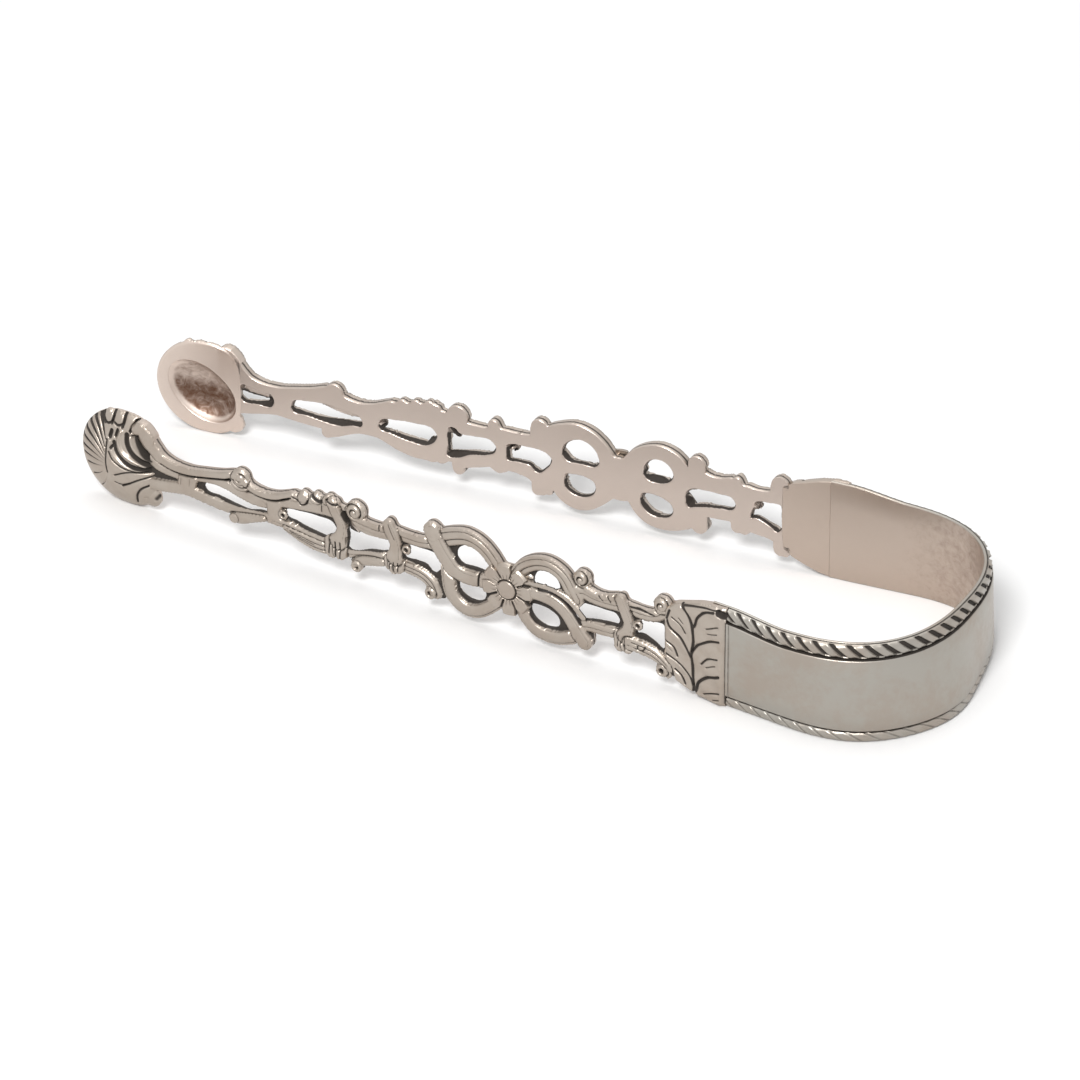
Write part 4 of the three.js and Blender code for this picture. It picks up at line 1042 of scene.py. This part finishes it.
SHELL_LEAVES = [
    ([(-64.4, 10.6), (-64.5, 8.7), (-64.6, 6.6), (-64.4, 5.2)], 0.15, 0.28),
    ([(-56.6, 7.0), (-58.3, 7.3), (-59.9, 7.5), (-61.4, 8.2), (-62.6, 9.3), (-63.1, 10.6)], 0.26, 0.55),
    ([(-57.3, 8.1), (-58.8, 8.8), (-60.1, 9.7), (-60.9, 11.0), (-61.1, 12.2)], 0.3, 0.65),
    ([(-57.3, 9.3), (-58.3, 10.4), (-59.0, 11.6), (-59.3, 12.5)], 0.42, 0.95),
    ([(-57.6, 6.9), (-60.0, 6.75), (-61.8, 7.0), (-63.4, 7.8), (-64.0, 8.8)], 0.15, 0.32),
    ([(-56.9, 6.4), (-59.2, 5.4), (-61.1, 4.2), (-61.9, 3.7)], 0.14, 0.3),
    ([(-56.9, 7.0), (-58.5, 6.8), (-61, 6.3), (-63.1, 5.2)], 0.13, 0.26),
    ([(-57.6, 4.7), (-58.8, 4.0), (-59.5, 3.0), (-59.9, 1.2)], 0.16, 0.36),
    ([(-60.6, 4.5), (-62.2, 3.9), (-63.2, 4.0)], 0.13, 0.24),
    ([(-56.5, 7.2), (-57.5, 7.5)], 0.4, 0.8),
    ([(-63.9, 11.2), (-63.7, 12.1)], 0.26, 0.6),
    ([(-62.9, 11.6), (-62.7, 12.5)], 0.2, 0.45),
    ([(-63.6, 9.6), (-63.3, 10.0)], 0.2, 0.4),
    ([(-58.4, 2.4), (-57.4, 2.2)], 0.14, 0.24),
    ([(-56.9, 7.6), (-58.6, 8.15), (-60.3, 8.85), (-61.6, 9.7), (-62.3, 11.2), (-62.0, 12.5)], 0.26, -0.4),
    ([(-57.0, 8.7), (-58.4, 9.5), (-59.6, 10.6), (-60.2, 11.8), (-60.3, 12.8)], 0.26, -0.45),
    ([(-57.5, 7.1), (-59.5, 7.1), (-61.3, 7.5), (-62.9, 8.4), (-63.7, 9.6), (-63.8, 10.6)], 0.22, -0.2),
]
SHELL_LOBES = (
    (-60.9, 13.75, 0.85, 0.9), (-62.8, 14.0, 0.85, 0.8), (-64.7, 13.85, 0.85, 0.7), (-57.9, 2.5, 1.7, 0.45),
)
LOBE_GAPS = [
    ([(-65.8, 14.5), (-65.6, 13.6), (-65.1, 12.9)], 0.22, 0.6),
    ([(-63.8, 14.9), (-63.75, 13.9), (-63.9, 13.1)], 0.2, 0.6),
    ([(-61.9, 14.8), (-61.85, 13.9), (-62.0, 13.1)], 0.2, 0.6),
    ([(-60.0, 14.3), (-60.1, 13.4), (-60.6, 12.8)], 0.2, 0.6),
    ([(-65.2, 13.1), (-64.7, 12.9), (-64.0, 13.1)], 0.16, 0.4),
    ([(-63.4, 13.3), (-62.8, 13.1), (-62.2, 13.3)], 0.16, 0.4),
    ([(-56.8, 2.5), (-56.4, 3.0)], 0.4, 0.2),
]
SHELL_SCROLL = [(-59.7, 13.2), (-59.0, 13.55), (-58.3, 13.0), (-57.6, 11.9), (-56.9, 11.1), (-55.6, 9.95)]

# Middle and tilt of the hollow behind the shell
HOLLOW_X = -62.6
HOLLOW_UP = 6.7
HOLLOW_TILT = math.radians(38)


def draw_shell(art, sizes):
    """A scallop: a chased dome in front and a tilted oval scoop behind, within a round outline.

    The outline is a circle at the tip and a squarer curve at the neck, joined with a few round lobes. The
    dome is one minus the share of the outline squared, to the power 0.7. The scoop is one minus the power
    2.6 of the share of an oval, deeper towards the neck.
    """
    x, up = art.x, art.up
    away_x, away_up = x - NECK_X + sizes.neck, up - 0.5 * sizes.height
    far = np.maximum(np.hypot(away_x, away_up), 0.01)
    cosine, sine = away_x / far, away_up / far
    reach = np.where(cosine < 0, sizes.reach, sizes.neck)
    power = np.where(cosine < 0, 2.0, 3.0)
    outline = (np.abs(cosine / reach) ** power + np.abs(2 * sine / sizes.height) ** power) ** (-1 / power)
    art.inside = outline - far
    share = np.clip(far / outline, 0, 1)
    dome = sizes.dome * (1 - share**2) ** 0.7
    art.front = sizes.rim_out * (0.2 + 0.8 * arch(1 - np.clip(art.inside / 0.5, 0, 1))) + dome
    art.chase(SHELL_RAYS, 0.3)
    art.chase(SHELL_LEAVES)
    for lobe_x, lobe_up, radius, rise in SHELL_LOBES:
        lobe = np.hypot(x - lobe_x, up - lobe_up) / radius
        art.front = np.maximum(art.front, sizes.rim_out - 0.1 + rise * radius * arch(lobe))
        art.dark = art.dark * smoothstep(0.75, 1.05, lobe)
        art.inside = np.maximum(art.inside, radius * (1 - lobe))
    art.chase(LOBE_GAPS)
    # the scroll in which the arm's upper rail ends
    scroll_heights = [sizes.dome - 0.3] * 3 + [sizes.dome - 0.35, sizes.dome - 0.6, sizes.dome - 0.9]
    art.stroke(SHELL_SCROLL, [1.5, 2.3, 2.6, 2.5, 1.95, 1.4], scroll_heights, half_round, 0.5)
    art.inside = np.minimum(art.inside, np.where(up > 8, NECK_X - x, NECK_X + 0.6 - x))
    art.gather_oxide_and_shade(0.7, 0.14, 0.5)
    cosine, sine = math.cos(HOLLOW_TILT), math.sin(HOLLOW_TILT)
    long = (x - HOLLOW_X) * cosine - (up - HOLLOW_UP) * sine
    short = (x - HOLLOW_X) * sine + (up - HOLLOW_UP) * cosine
    away = np.hypot(long / sizes.hollow_length, short / sizes.hollow_width)
    bias = 1 + 0.45 * long / sizes.hollow_length
    scoop = sizes.hollow_depth * bias * np.clip(1 - away**2.6, 0, 1) ** 0.75
    rim = sizes.rim_in * (1 - 0.9 * smoothstep(NECK_X - 3.5, NECK_X - 0.5, x))
    art.back = scoop - rim * arch(1 - np.clip((outline - far) / 0.5, 0, 1))
    # The brown is tarnish, made stronger towards the bottom of the hollow as painted shadow
    low = 1 - smoothstep(6.2, 8.2, up + 0.12 * (x + 62))
    art.tarnish = (1 - smoothstep(0.84, 0.98, away)) * (0.45 + 0.24 * low)
    art.front = np.maximum(art.front, art.back + 0.25)


# Bow and rope borders

BENT_FOOT_FROM_CROWN = 5.5
BENT_FOOT_WIDTH = 8.0

# Points along half the strip and half a rope
STRIP_STATIONS = 380
ROPE_STATIONS = 620

# Each rope: its margin in the band, its share of the rope's depth, the half width of a notch as a share of
# the pitch, how far a notch sinks and how dark it is, the swell of the strands, and the darkness by the lip
ROPES = {
    "upper": {
        "margin": 0.14, "depth": 1.0, "notch": 0.24, "sink": 0.62,
        "dark": 1.0, "swell": 0.08, "beside_lip": 0.75,
    },
    "lower": {
        "margin": 0.26, "depth": 0.9, "notch": 0.15, "sink": 0.14,
        "dark": 0.5, "swell": 0.04, "beside_lip": 0.0,
    },
}


def half_bow(sizes, squareness, start_x, count):
    """Stations along half the bow, from a point on the panel to the crown, evenly spaced.

    The plan is the arm's inner face up to the bend, and then a quarter of the curve on which the powers of
    x and y, each over its half axis, add up to one. Gives places, outward normals and distances to the
    crown.
    """
    straight_x = np.linspace(start_x, BOW_BEND_X, 400, endpoint=False)
    straight = np.stack([straight_x, inner_face(straight_x, sizes.half_width)], axis=-1)
    angle = np.linspace(math.pi / 2, 0, 3000)
    power = 2 / squareness
    bend_x = BOW_BEND_X + sizes.depth * np.clip(np.cos(angle), 0, 1) ** power
    bend_y = sizes.half_width * np.clip(np.sin(angle), 0, 1) ** power
    fine = np.concatenate([straight, np.stack([bend_x, bend_y], axis=-1)])
    length = np.concatenate([[0], np.cumsum(np.linalg.norm(np.diff(fine, axis=0), axis=1))])
    stations = np.linspace(0, length[-1], count)
    places = np.stack([np.interp(stations, length, fine[:, axis]) for axis in (0, 1)], axis=-1)
    along = np.gradient(places, stations, axis=0)
    along[-1] = (0, -1)
    along /= np.linalg.norm(along, axis=1, keepdims=True)
    normals = np.stack([-along[:, 1], along[:, 0]], axis=-1)
    return places, normals, length[-1] - stations


def strip_height(sizes, x):
    """The strip narrows from the leaf to the bend by a smooth step."""
    share = smoothstep(BOW_JOINT_X, BOW_BEND_X, x)
    return sizes.panel_height + (sizes.crown_height - sizes.panel_height) * share


def place_on_bow(sizes, half, out, up, side):
    """Carries outward and upward distances along the plan.

    The foot leans out by a sine over each bend, and is bent out a little more by use just beside the crown
    on the near side: a round bump of the distance from there.
    """
    places, normals, from_crown = half
    share = (places[:, :1] - BOW_JOINT_X) / (BOW_BEND_X + sizes.depth - BOW_JOINT_X)
    turn = np.sin(math.pi * np.clip(share, 0, 1) ** 2)
    use = mound(side * from_crown[:, None] + BENT_FOOT_FROM_CROWN, BENT_FOOT_WIDTH)
    lean = out + (sizes.flare * turn + sizes.bent_foot * use) * (1 - up / sizes.crown_height)
    x = places[:, :1] + normals[:, :1] * lean
    y = places[:, 1:] + normals[:, 1:] * lean
    return np.stack([x, y, np.broadcast_to(up, x.shape)], axis=-1)


def edge_section(sizes, band, panel_reach):
    """The strip's section at one edge, from the inner face round the lip to the middle of the panel.

    Rows of outward distance, distance from the edge and darkness.
    """
    lip, panel = sizes.lip, sizes.thickness
    return np.array([
        (0.0, 4.0, 0), (0.0, 0.2, 0), (0.05, 0.06, 0), (0.16, 0.0, 0), (lip - 0.1, 0.0, 0),
        (lip - 0.02, 0.04, 0), (lip, 0.14, 0.2), (lip, band - 0.1, 1), (lip, band + 0.02, 1),
        (panel - 0.2, band + 0.02, 1), (panel - 0.07, band + 0.06, 0.4), (panel, band + 0.2, 0),
        (panel, panel_reach, 0),
    ])


def draw_strip(skin, sizes, squareness, side):
    """Half the strip: a section with a thin lip, a sunk band for each rope and a raised panel, on the bow.

    Its end is thinned to lap behind the leaf.
    """
    half = half_bow(sizes, squareness, LAP_X, STRIP_STATIONS)
    x = half[0][:, :1]
    top = strip_height(sizes, x)
    upper = edge_section(sizes, sizes.upper_band, 5.0)
    lower = edge_section(sizes, sizes.lower_band, 4.5)[::-1]
    out, _, dark = np.roll(np.concatenate([upper, lower]), 2, axis=0).T[:, None]
    up = np.roll(np.concatenate([top - upper[:, 1], lower[:, 1] + 0 * top], axis=1), 2, axis=1)
    on_panel = out == sizes.thickness
    collar = mound(x - BOW_JOINT_X - 0.45, 0.13)
    inner = (out == 0.0) + 0 * x
    out = np.where(x < BOW_JOINT_X, np.minimum(out, LAP_THICKNESS), out - 0.1 * collar * on_panel)
    skin.add_rings(
        place_on_bow(sizes, half, out, up, side),
        groove=np.maximum(dark, 0.62 * collar * on_panel),
        inner=inner,
        tarnish=inner * smoothstep(34, 56, x) * 0.37,
    )


def draw_rope(skin, sizes, squareness, level, side):
    """Half a rope border: a flat band with rounded edges, cut by short slanting notches.

    The strand number is the distance round the bow over the pitch, plus a share of the height. A notch is
    sunk where its fraction is near one half, and fades out before the edges of the band.
    """
    rope = ROPES[level]
    upper = level == "upper"
    half = half_bow(sizes, squareness, BOW_JOINT_X + 0.15, ROPE_STATIONS)
    half_band = 0.5 * ((sizes.upper_band if upper else sizes.lower_band) - rope["margin"])
    top = strip_height(sizes, half[0][:, :1])
    centre = top - 0.06 - half_band if upper else 0.06 + half_band + 0 * top
    height = np.sin(np.linspace(-math.pi / 2, math.pi / 2, 25))[None, :]
    number = -side * half[2][:, None] / sizes.rope_pitch - 0.52 * height
    away = np.abs(np.mod(number, 1) - 0.5)
    fade = 1 - smoothstep(0.64, 0.95, np.abs(height - 0.05))
    notch = (1 - smoothstep(0.5 * rope["notch"], rope["notch"], away)) * fade
    strand = rope["swell"] * np.cos(2 * math.pi * number)
    rise = np.sqrt(1 - np.abs(height) ** 3.2) * (0.96 - strand) - rope["sink"] * notch
    base = sizes.lip - 0.05
    out = np.maximum(base + rope["depth"] * sizes.rope_depth * rise, base)
    back = np.full((len(out), 2), sizes.lip - 0.08)
    back_up = [centre + 0.9 * half_band, centre - 0.9 * half_band]
    up = np.concatenate([centre + half_band * height, *back_up], axis=1)
    beside_panel = smoothstep(0.95, 1.0, -height if upper else height)
    beside_lip = rope["beside_lip"] * smoothstep(0.92, 0.99, height)
    dark = np.maximum(rope["dark"] * notch, np.maximum(beside_panel, beside_lip))
    skin.add_rings(
        place_on_bow(sizes, half, np.concatenate([out, back], axis=1), up, side),
        groove=np.concatenate([dark, 0 * back], axis=1),
    )


# Silver


class Wire:
    """A shader value; adding, subtracting or multiplying wires adds Math nodes."""

    def __init__(self, tree, socket):
        self.tree = tree
        self.socket = socket

    def math(self, operation, first, second):
        """One Math node on two values, each a wire or a number."""
        node = self.tree.nodes.new("ShaderNodeMath")
        node.operation = operation
        for socket, value in zip(node.inputs, (first, second)):
            if isinstance(value, Wire):
                self.tree.links.new(value.socket, socket)
            else:
                socket.default_value = value
        return Wire(self.tree, node.outputs[0])

    def __add__(self, other):
        return self.math("ADD", self, other)

    def __radd__(self, other):
        return self.math("ADD", other, self)

    def __sub__(self, other):
        return self.math("SUBTRACT", self, other)

    def __rsub__(self, other):
        return self.math("SUBTRACT", other, self)

    def __mul__(self, other):
        return self.math("MULTIPLY", self, other)

    def __rmul__(self, other):
        return self.math("MULTIPLY", other, self)

    def most(self, other):
        """The greater of two values."""
        return self.math("MAXIMUM", self, other)


class Shader:
    """A material's or world's node tree."""

    def __init__(self, tree):
        self.tree = tree
        tree.nodes.clear()

    def add(self, kind, settings=None, **sockets):
        """Adds a node: its settings first, and then its sockets, by name or as in_N by number."""
        node = self.tree.nodes.new(kind)
        for name, value in (settings or {}).items():
            setattr(node, name, value)
        for name, value in sockets.items():
            key = int(name[3:]) if name.startswith("in_") else name.replace("_", " ")
            socket = node.inputs[key]
            if isinstance(value, Wire):
                self.tree.links.new(value.socket, socket)
            else:
                socket.default_value = value
        return node

    def wire(self, node, output=0):
        """One output of a node, by number or name, as a wire."""
        return Wire(self.tree, node.outputs[output])

    def noise(self, place, scale, detail=3.0, roughness=0.55, swirls=0.0):
        """Smooth noise from 0 to 1; the scale counts features per metre."""
        sockets = {"Scale": scale, "Detail": detail, "Roughness": roughness, "Distortion": swirls}
        return self.wire(self.add("ShaderNodeTexNoise", None, Vector=place, **sockets))

    def step(self, value, low, high):
        """A smooth step of a value between two limits."""
        settings = {"interpolation_type": "SMOOTHSTEP"}
        node = self.add("ShaderNodeMapRange", settings, in_0=value, in_1=low, in_2=high)
        return self.wire(node)

    def blend(self, factor, first, second):
        """A mix of two colours."""
        node = self.add("ShaderNodeMix", {"data_type": "RGBA"}, in_0=factor, in_6=first, in_7=second)
        return self.wire(node, 2)

    def attribute(self, name):
        """A value that the mesh carries at its points."""
        return self.wire(self.add("ShaderNodeAttribute", {"attribute_name": name}), 2)

    def stretched(self, place, scale):
        """Coordinates scaled by a different amount on each axis."""
        settings = {"operation": "MULTIPLY"}
        return self.wire(self.add("ShaderNodeVectorMath", settings, in_0=place, in_1=scale))


# Each silver: the colours of its outer and inner faces, how far the oxide and painted shade reach out of
# corners in millimetres, and the heights of its grain and its scratches in micrometres
SILVERS = {
    "bow": {"outer": "bow", "inner": "bow_inner", "recess": 0.6, "grain": 0.6, "scratch": 2.5},
    "rope": {"outer": "bow", "inner": "bow_inner", "recess": 0.7, "grain": 1.5, "scratch": 1.5},
    "cast": {"outer": "cast", "inner": "inner", "recess": 1.3, "grain": 3.0, "scratch": 1.0},
    "leaf": {"outer": "cast", "inner": "bow_inner", "recess": 1.3, "grain": 3.0, "scratch": 1.0},
    "shell": {"outer": "cast", "inner": "grip_inner", "recess": 0.9, "grain": 4.0, "scratch": 1.0},
}


def silver(kind):
    """Worn silver: mottled warm tarnish, dark oxide and painted shade in the recesses, fine scratches and a
    soft grain.
    """
    name = f"worn_{kind}_silver"
    material = bpy.data.materials.get(name)
    if material:
        return material
    finish = bpy.context.scene.tongs_finish
    outer, inner = (getattr(finish, SILVERS[kind][face]) for face in ("outer", "inner"))
    recess = SILVERS[kind]["recess"] / 1000
    grain, scratch = (SILVERS[kind][mark] / 1e6 for mark in ("grain", "scratch"))
    material = bpy.data.materials.new(name)
    material.use_nodes = True
    shader = Shader(material.node_tree)
    place = shader.wire(shader.add("ShaderNodeTexCoord"), 3)
    cloud = shader.noise(place, 130.0)
    mottle = shader.noise(place, 900.0, 4.0, 0.65)
    speck = shader.noise(place, 3200.0, 2.0)
    swirl = shader.noise(place, 620.0, 3.0, 0.6, 1.6)
    brushed = shader.noise(shader.stretched(place, (0.12, 0.12, 1.0)), 9000.0, 2.0)
    settings = {"samples": 12, "only_local": True}
    # Ambient occlusion darkens the corners: painted shade, laid on together with the dark oxide
    shut = shader.wire(shader.add("ShaderNodeAmbientOcclusion", settings, Distance=recess), 1)
    corner = shader.step(1 - shut + 0.16 * (mottle - 0.5), 0.3, 0.72)
    groove = shader.step(shader.attribute("groove") + 0.3 * (mottle - 0.5), 0.25, 0.8)
    oxide_and_shade = corner.most(groove)
    # In the shell's hollow the tarnish reading also carries a painted shadow towards its bottom
    blotch = shader.attribute("tarnish") * (0.55 + 0.9 * swirl)
    hollow = shader.step(blotch + 0.3 * (mottle - 0.5), 0.2, 0.85)
    thin = shader.step(cloud + 0.35 * (mottle - 0.5), 0.38, 0.72) * 0.55
    tint = shader.blend(thin, (*outer, 1), (*finish.warm, 1))
    tint = shader.blend(shader.attribute("inner") * 0.85, tint, (*inner, 1))
    tint = shader.blend(hollow, tint, (*finish.hollow, 1))
    tint = shader.blend(oxide_and_shade * 0.97, tint, (*finish.oxide_and_shade, 1))
    gloss = finish.roughness + 0.14 * (mottle - 0.5) + 0.1 * (brushed - 0.5) + 0.4 * oxide_and_shade + 0.22 * hollow
    height = grain * speck + scratch * brushed + (4 * grain) * mottle
    bump = shader.add("ShaderNodeBump", None, Strength=0.6, Distance=1.0, Height=height)
    silver_node = shader.add(
        "ShaderNodeBsdfPrincipled", None, Base_Color=tint, Metallic=1 - 0.95 * oxide_and_shade, Roughness=gloss,
        Normal=shader.wire(bump),
    )
    shader.add("ShaderNodeOutputMaterial", None, Surface=shader.wire(silver_node))
    return material


# Operators


class ArmOperator:
    """What the operators for the arms' pieces share."""

    bl_options = {"REGISTER", "UNDO"}

    def finish_reliefs(self, arts, node, slot, kind, walls_dark=1.0):
        """Makes the near and the far piece from their reliefs."""
        skins = {hand: Skin() for hand in PLACES}
        for hand, skin in skins.items():
            points, faces, readings = arts[hand].skin(hand, walls_dark)
            skin.add(points, faces, **readings)
        return self.finish_pair(skins, node, slot, kind)

    def finish_pair(self, skins, node, slot, kind):
        """Makes the near and the far piece from their skins, each riding on its arm for its solid."""
        for hand, place in PLACES.items():
            made = skins[hand].piece(f"{hand}_{node}_cast", silver(kind), place, CAST_SHARP_ANGLE)
            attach(made, f"{hand}_arm")
            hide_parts(f"{hand}_{node}")
        return {"FINISHED"}


def bend_with_arm(made, hand, sizes):
    """Bakes the half's place into its mesh; the points at the crown and on the panel are worked out, but
    nothing uses them.
    """
    side = SIDES[hand]
    crown = (0.001 * (BOW_BEND_X + sizes.depth + SHIFT_X), 0.0, 0.0)
    panel = (0.001 * (BOW_JOINT_X + 1.0 + SHIFT_X), side * 0.001 * (sizes.half_width - 0.6), 0.0)
    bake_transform(made)


class TONGS_OT_bow(bpy.types.Operator):
    """Build the spring bow as two halves"""

    bl_idname = "tongs.bow"
    bl_label = "Spring bow"

    def execute(self, context):
        sizes = Sizes(context.scene.tongs_bow)
        for hand, place in PLACES.items():
            skin = Skin()
            draw_strip(skin, sizes, context.scene.tongs_bow.squareness, SIDES[hand])
            made = skin.piece(f"{hand}_bow_strip", silver("bow"), place)
            bend_with_arm(made, hand, sizes)
            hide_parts("bow_spring")
        return {"FINISHED"}


class TONGS_OT_ropes(bpy.types.Operator):
    """Build the rope borders along the top and the bottom of the bow"""

    bl_idname = "tongs.ropes"
    bl_label = "Rope borders"

    def execute(self, context):
        sizes = Sizes(context.scene.tongs_bow)
        for level in ROPES:
            for hand, place in PLACES.items():
                skin = Skin()
                draw_rope(skin, sizes, context.scene.tongs_bow.squareness, level, SIDES[hand])
                made = skin.piece(f"{hand}_{level}_rope", silver("rope"), place)
                bend_with_arm(made, hand, sizes)
                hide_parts(f"{level}_rope_border")
        return {"FINISHED"}


class TONGS_OT_leaves(ArmOperator, bpy.types.Operator):
    """Build the leaf next to the bow on each arm"""

    bl_idname = "tongs.leaves"
    bl_label = "Leaf terminals"

    def execute(self, context):
        art = Relief(27.2, 38.0, -0.3, 16.2, FINE_GRID)
        draw_leaf(art, Sizes(context.scene.tongs_arm))
        arts = dict.fromkeys(PLACES, art)
        return self.finish_reliefs(arts, "leaf_terminal", "cast_silver", "leaf", 0.0)


class TONGS_OT_loop_arms(ArmOperator, bpy.types.Operator):
    """Build the castings with the loops and S straps"""

    bl_idname = "tongs.loop_arms"
    bl_label = "Loop arms"

    def execute(self, context):
        arts = {hand: Relief(SEAM_X - 2, 31, -0.5, 17, ARM_GRID) for hand in PLACES}
        for hand, art in arts.items():
            draw_loops(art, Sizes(context.scene.tongs_arm), Sizes(context.scene.tongs_flower).radius, hand)
            art.gather_oxide_and_shade(0.4, 0.1, 0.3)
        return self.finish_reliefs(arts, "loop_arm", "cast_silver", "cast")


class TONGS_OT_flowers(ArmOperator, bpy.types.Operator):
    """Build the flower on each arm"""

    bl_idname = "tongs.flowers"
    bl_label = "Flowers"

    def execute(self, context):
        skin = Skin()
        group = context.scene.tongs_flower
        draw_flower(skin, Sizes(group), group.petals, Sizes(context.scene.tongs_arm).web)
        skins = dict.fromkeys(PLACES, skin)
        return self.finish_pair(skins, "flower_boss", "cast_silver", "cast")


class TONGS_OT_scroll_arms(ArmOperator, bpy.types.Operator):
    """Build the castings with the scrolls and straps"""

    bl_idname = "tongs.scroll_arms"
    bl_label = "Scroll arms"

    def execute(self, context):
        arts = {hand: Relief(NECK_X - 3.5, SEAM_X + 2, -0.5, 16, ARM_GRID) for hand in PLACES}
        for hand, art in arts.items():
            draw_scrolls(art, Sizes(context.scene.tongs_arm), hand)
            art.gather_oxide_and_shade(0.4, 0.1, 0.3)
        return self.finish_reliefs(arts, "scroll_arm", "cast_silver", "cast")


class TONGS_OT_shells(ArmOperator, bpy.types.Operator):
    """Build the shell grips at the tips"""

    bl_idname = "tongs.shells"
    bl_label = "Shell grips"

    def execute(self, context):
        art = Relief(TIP_X - 1, NECK_X + 1.5, -0.6, 16, FINE_GRID)
        draw_shell(art, Sizes(context.scene.tongs_shell))
        arts = dict.fromkeys(PLACES, art)
        return self.finish_reliefs(arts, "shell_grip", "shell_silver", "shell", 0.0)


class TONGS_OT_stage(bpy.types.Operator):
    """Set up the floor, the surroundings, the lamps and the camera"""

    bl_idname = "tongs.stage"
    bl_label = "Stage"

    def execute(self, context):
        stage = context.scene.tongs_stage
        make_floor(stage)
        make_surroundings(context.scene, stage)
        make_lamp("key_lamp", KEY_PLACE, KEY_WIDTH, stage.key)
        make_lamp("overhead_lamp", OVERHEAD_PLACE, OVERHEAD_WIDTH, stage.overhead)
        make_camera(context.scene)
        context.scene.view_settings.view_transform = "Standard"
        return {"FINISHED"}


def seen_directly(shader):
    """1 for rays from the camera, from a reflection or through glass, and 0 for light on surfaces."""
    path = shader.add("ShaderNodeLightPath")
    camera, glossy, through = (
        shader.wire(path, f"Is {kind} Ray") for kind in ("Camera", "Glossy", "Transmission")
    )
    return camera.most(glossy).most(through)


def make_floor(stage):
    """A large pale sheet that shows white where it is lit and keeps the soft shadow."""
    corners = np.array([[-1, -1, 0], [1, -1, 0], [1, 1, 0], [-1, 1, 0]]) * FLOOR_REACH
    mesh = bpy.data.meshes.new("floor")
    mesh.from_pydata(corners.tolist(), [], [(0, 1, 2, 3)])
    material = bpy.data.materials.new("floor_paper")
    material.use_nodes = True
    shader = Shader(material.node_tree)
    paper = shader.add("ShaderNodeBsdfDiffuse", None, Color=(*stage.floor, 1))
    white = shader.add("ShaderNodeEmission", None, Color=(1, 1, 1, 1), Strength=1.0)
    glow = FLOOR_GLOW * seen_directly(shader)
    layers = {"in_1": shader.wire(paper), "in_2": shader.wire(white)}
    mixed = shader.add("ShaderNodeMixShader", None, in_0=glow, **layers)
    shader.add("ShaderNodeOutputMaterial", None, Surface=shader.wire(mixed))
    mesh.materials.append(material)
    floor = bpy.data.objects.new("floor", mesh)
    bpy.context.scene.collection.objects.link(floor)


def make_surroundings(scene, stage):
    """White where it is seen or mirrored, dimmer as a light."""
    world = bpy.data.worlds.new("studio")
    world.use_nodes = True
    shader = Shader(world.node_tree)
    strength = stage.ambient + (1 - stage.ambient) * seen_directly(shader)
    sky = shader.add("ShaderNodeBackground", None, Color=(1, 1, 1, 1), Strength=strength)
    shader.add("ShaderNodeOutputWorld", None, Surface=shader.wire(sky))
    scene.world = world


def make_lamp(name, place, width, power):
    """A square soft lamp that faces the tongs."""
    lamp = bpy.data.lights.new(name, "AREA")
    lamp.shape = "SQUARE"
    lamp.size = width
    lamp.energy = power
    made = bpy.data.objects.new(name, lamp)
    made.location = place
    made.rotation_euler = (-Vector(place)).to_track_quat("-Z", "Y").to_euler()
    bpy.context.scene.collection.objects.link(made)


def make_camera(scene):
    """The photograph's camera: it looks at its target from the given side, height and distance."""
    away = Vector((
        math.sin(CAMERA_AZIMUTH) * math.cos(CAMERA_ELEVATION),
        -math.cos(CAMERA_AZIMUTH) * math.cos(CAMERA_ELEVATION),
        math.sin(CAMERA_ELEVATION),
    ))
    camera = bpy.data.cameras.new("camera")
    camera.sensor_width = 36.0
    camera.lens = CAMERA_LENS
    camera.clip_end = 20.0
    made = bpy.data.objects.new("camera", camera)
    place = (Vector(CAMERA_TARGET) + CAMERA_DISTANCE * away) / 1000
    made.matrix_world = Matrix.Translation(place) @ away.to_track_quat("Z", "Y").to_matrix().to_4x4()
    scene.collection.objects.link(made)
    scene.camera = made


class TONGS_PT_panel(bpy.types.Panel):
    """Lists the pieces of the tongs"""

    bl_idname = "TONGS_PT_panel"
    bl_label = "Sugar tongs"
    bl_space_type = "VIEW_3D"
    bl_region_type = "UI"
    bl_category = "Tongs"

    def draw(self, context):
        for operator in OPERATORS:
            self.layout.operator(operator.bl_idname)


OPERATORS = [
    TONGS_OT_bow,
    TONGS_OT_ropes,
    TONGS_OT_leaves,
    TONGS_OT_loop_arms,
    TONGS_OT_flowers,
    TONGS_OT_scroll_arms,
    TONGS_OT_shells,
    TONGS_OT_stage,
]


def register():
    """Registers the property groups, the operators and the panel."""
    for name, group in GROUPS.items():
        bpy.utils.register_class(group)
        setattr(bpy.types.Scene, name, PointerProperty(type=group))
    for operator in OPERATORS:
        bpy.utils.register_class(operator)
    bpy.utils.register_class(TONGS_PT_panel)


def unregister():
    """Undoes register, in the opposite order."""
    bpy.utils.unregister_class(TONGS_PT_panel)
    for operator in reversed(OPERATORS):
        bpy.utils.unregister_class(operator)
    for name, group in reversed(GROUPS.items()):
        delattr(bpy.types.Scene, name)
        bpy.utils.unregister_class(group)


def main():
    register()
    bpy.ops.tongs.stage()
    bpy.ops.tongs.bow()
    bpy.ops.tongs.ropes()
    bpy.ops.tongs.leaves()
    bpy.ops.tongs.loop_arms()
    bpy.ops.tongs.flowers()
    bpy.ops.tongs.scroll_arms()
    bpy.ops.tongs.shells()


if __name__ == "__main__":
    main()
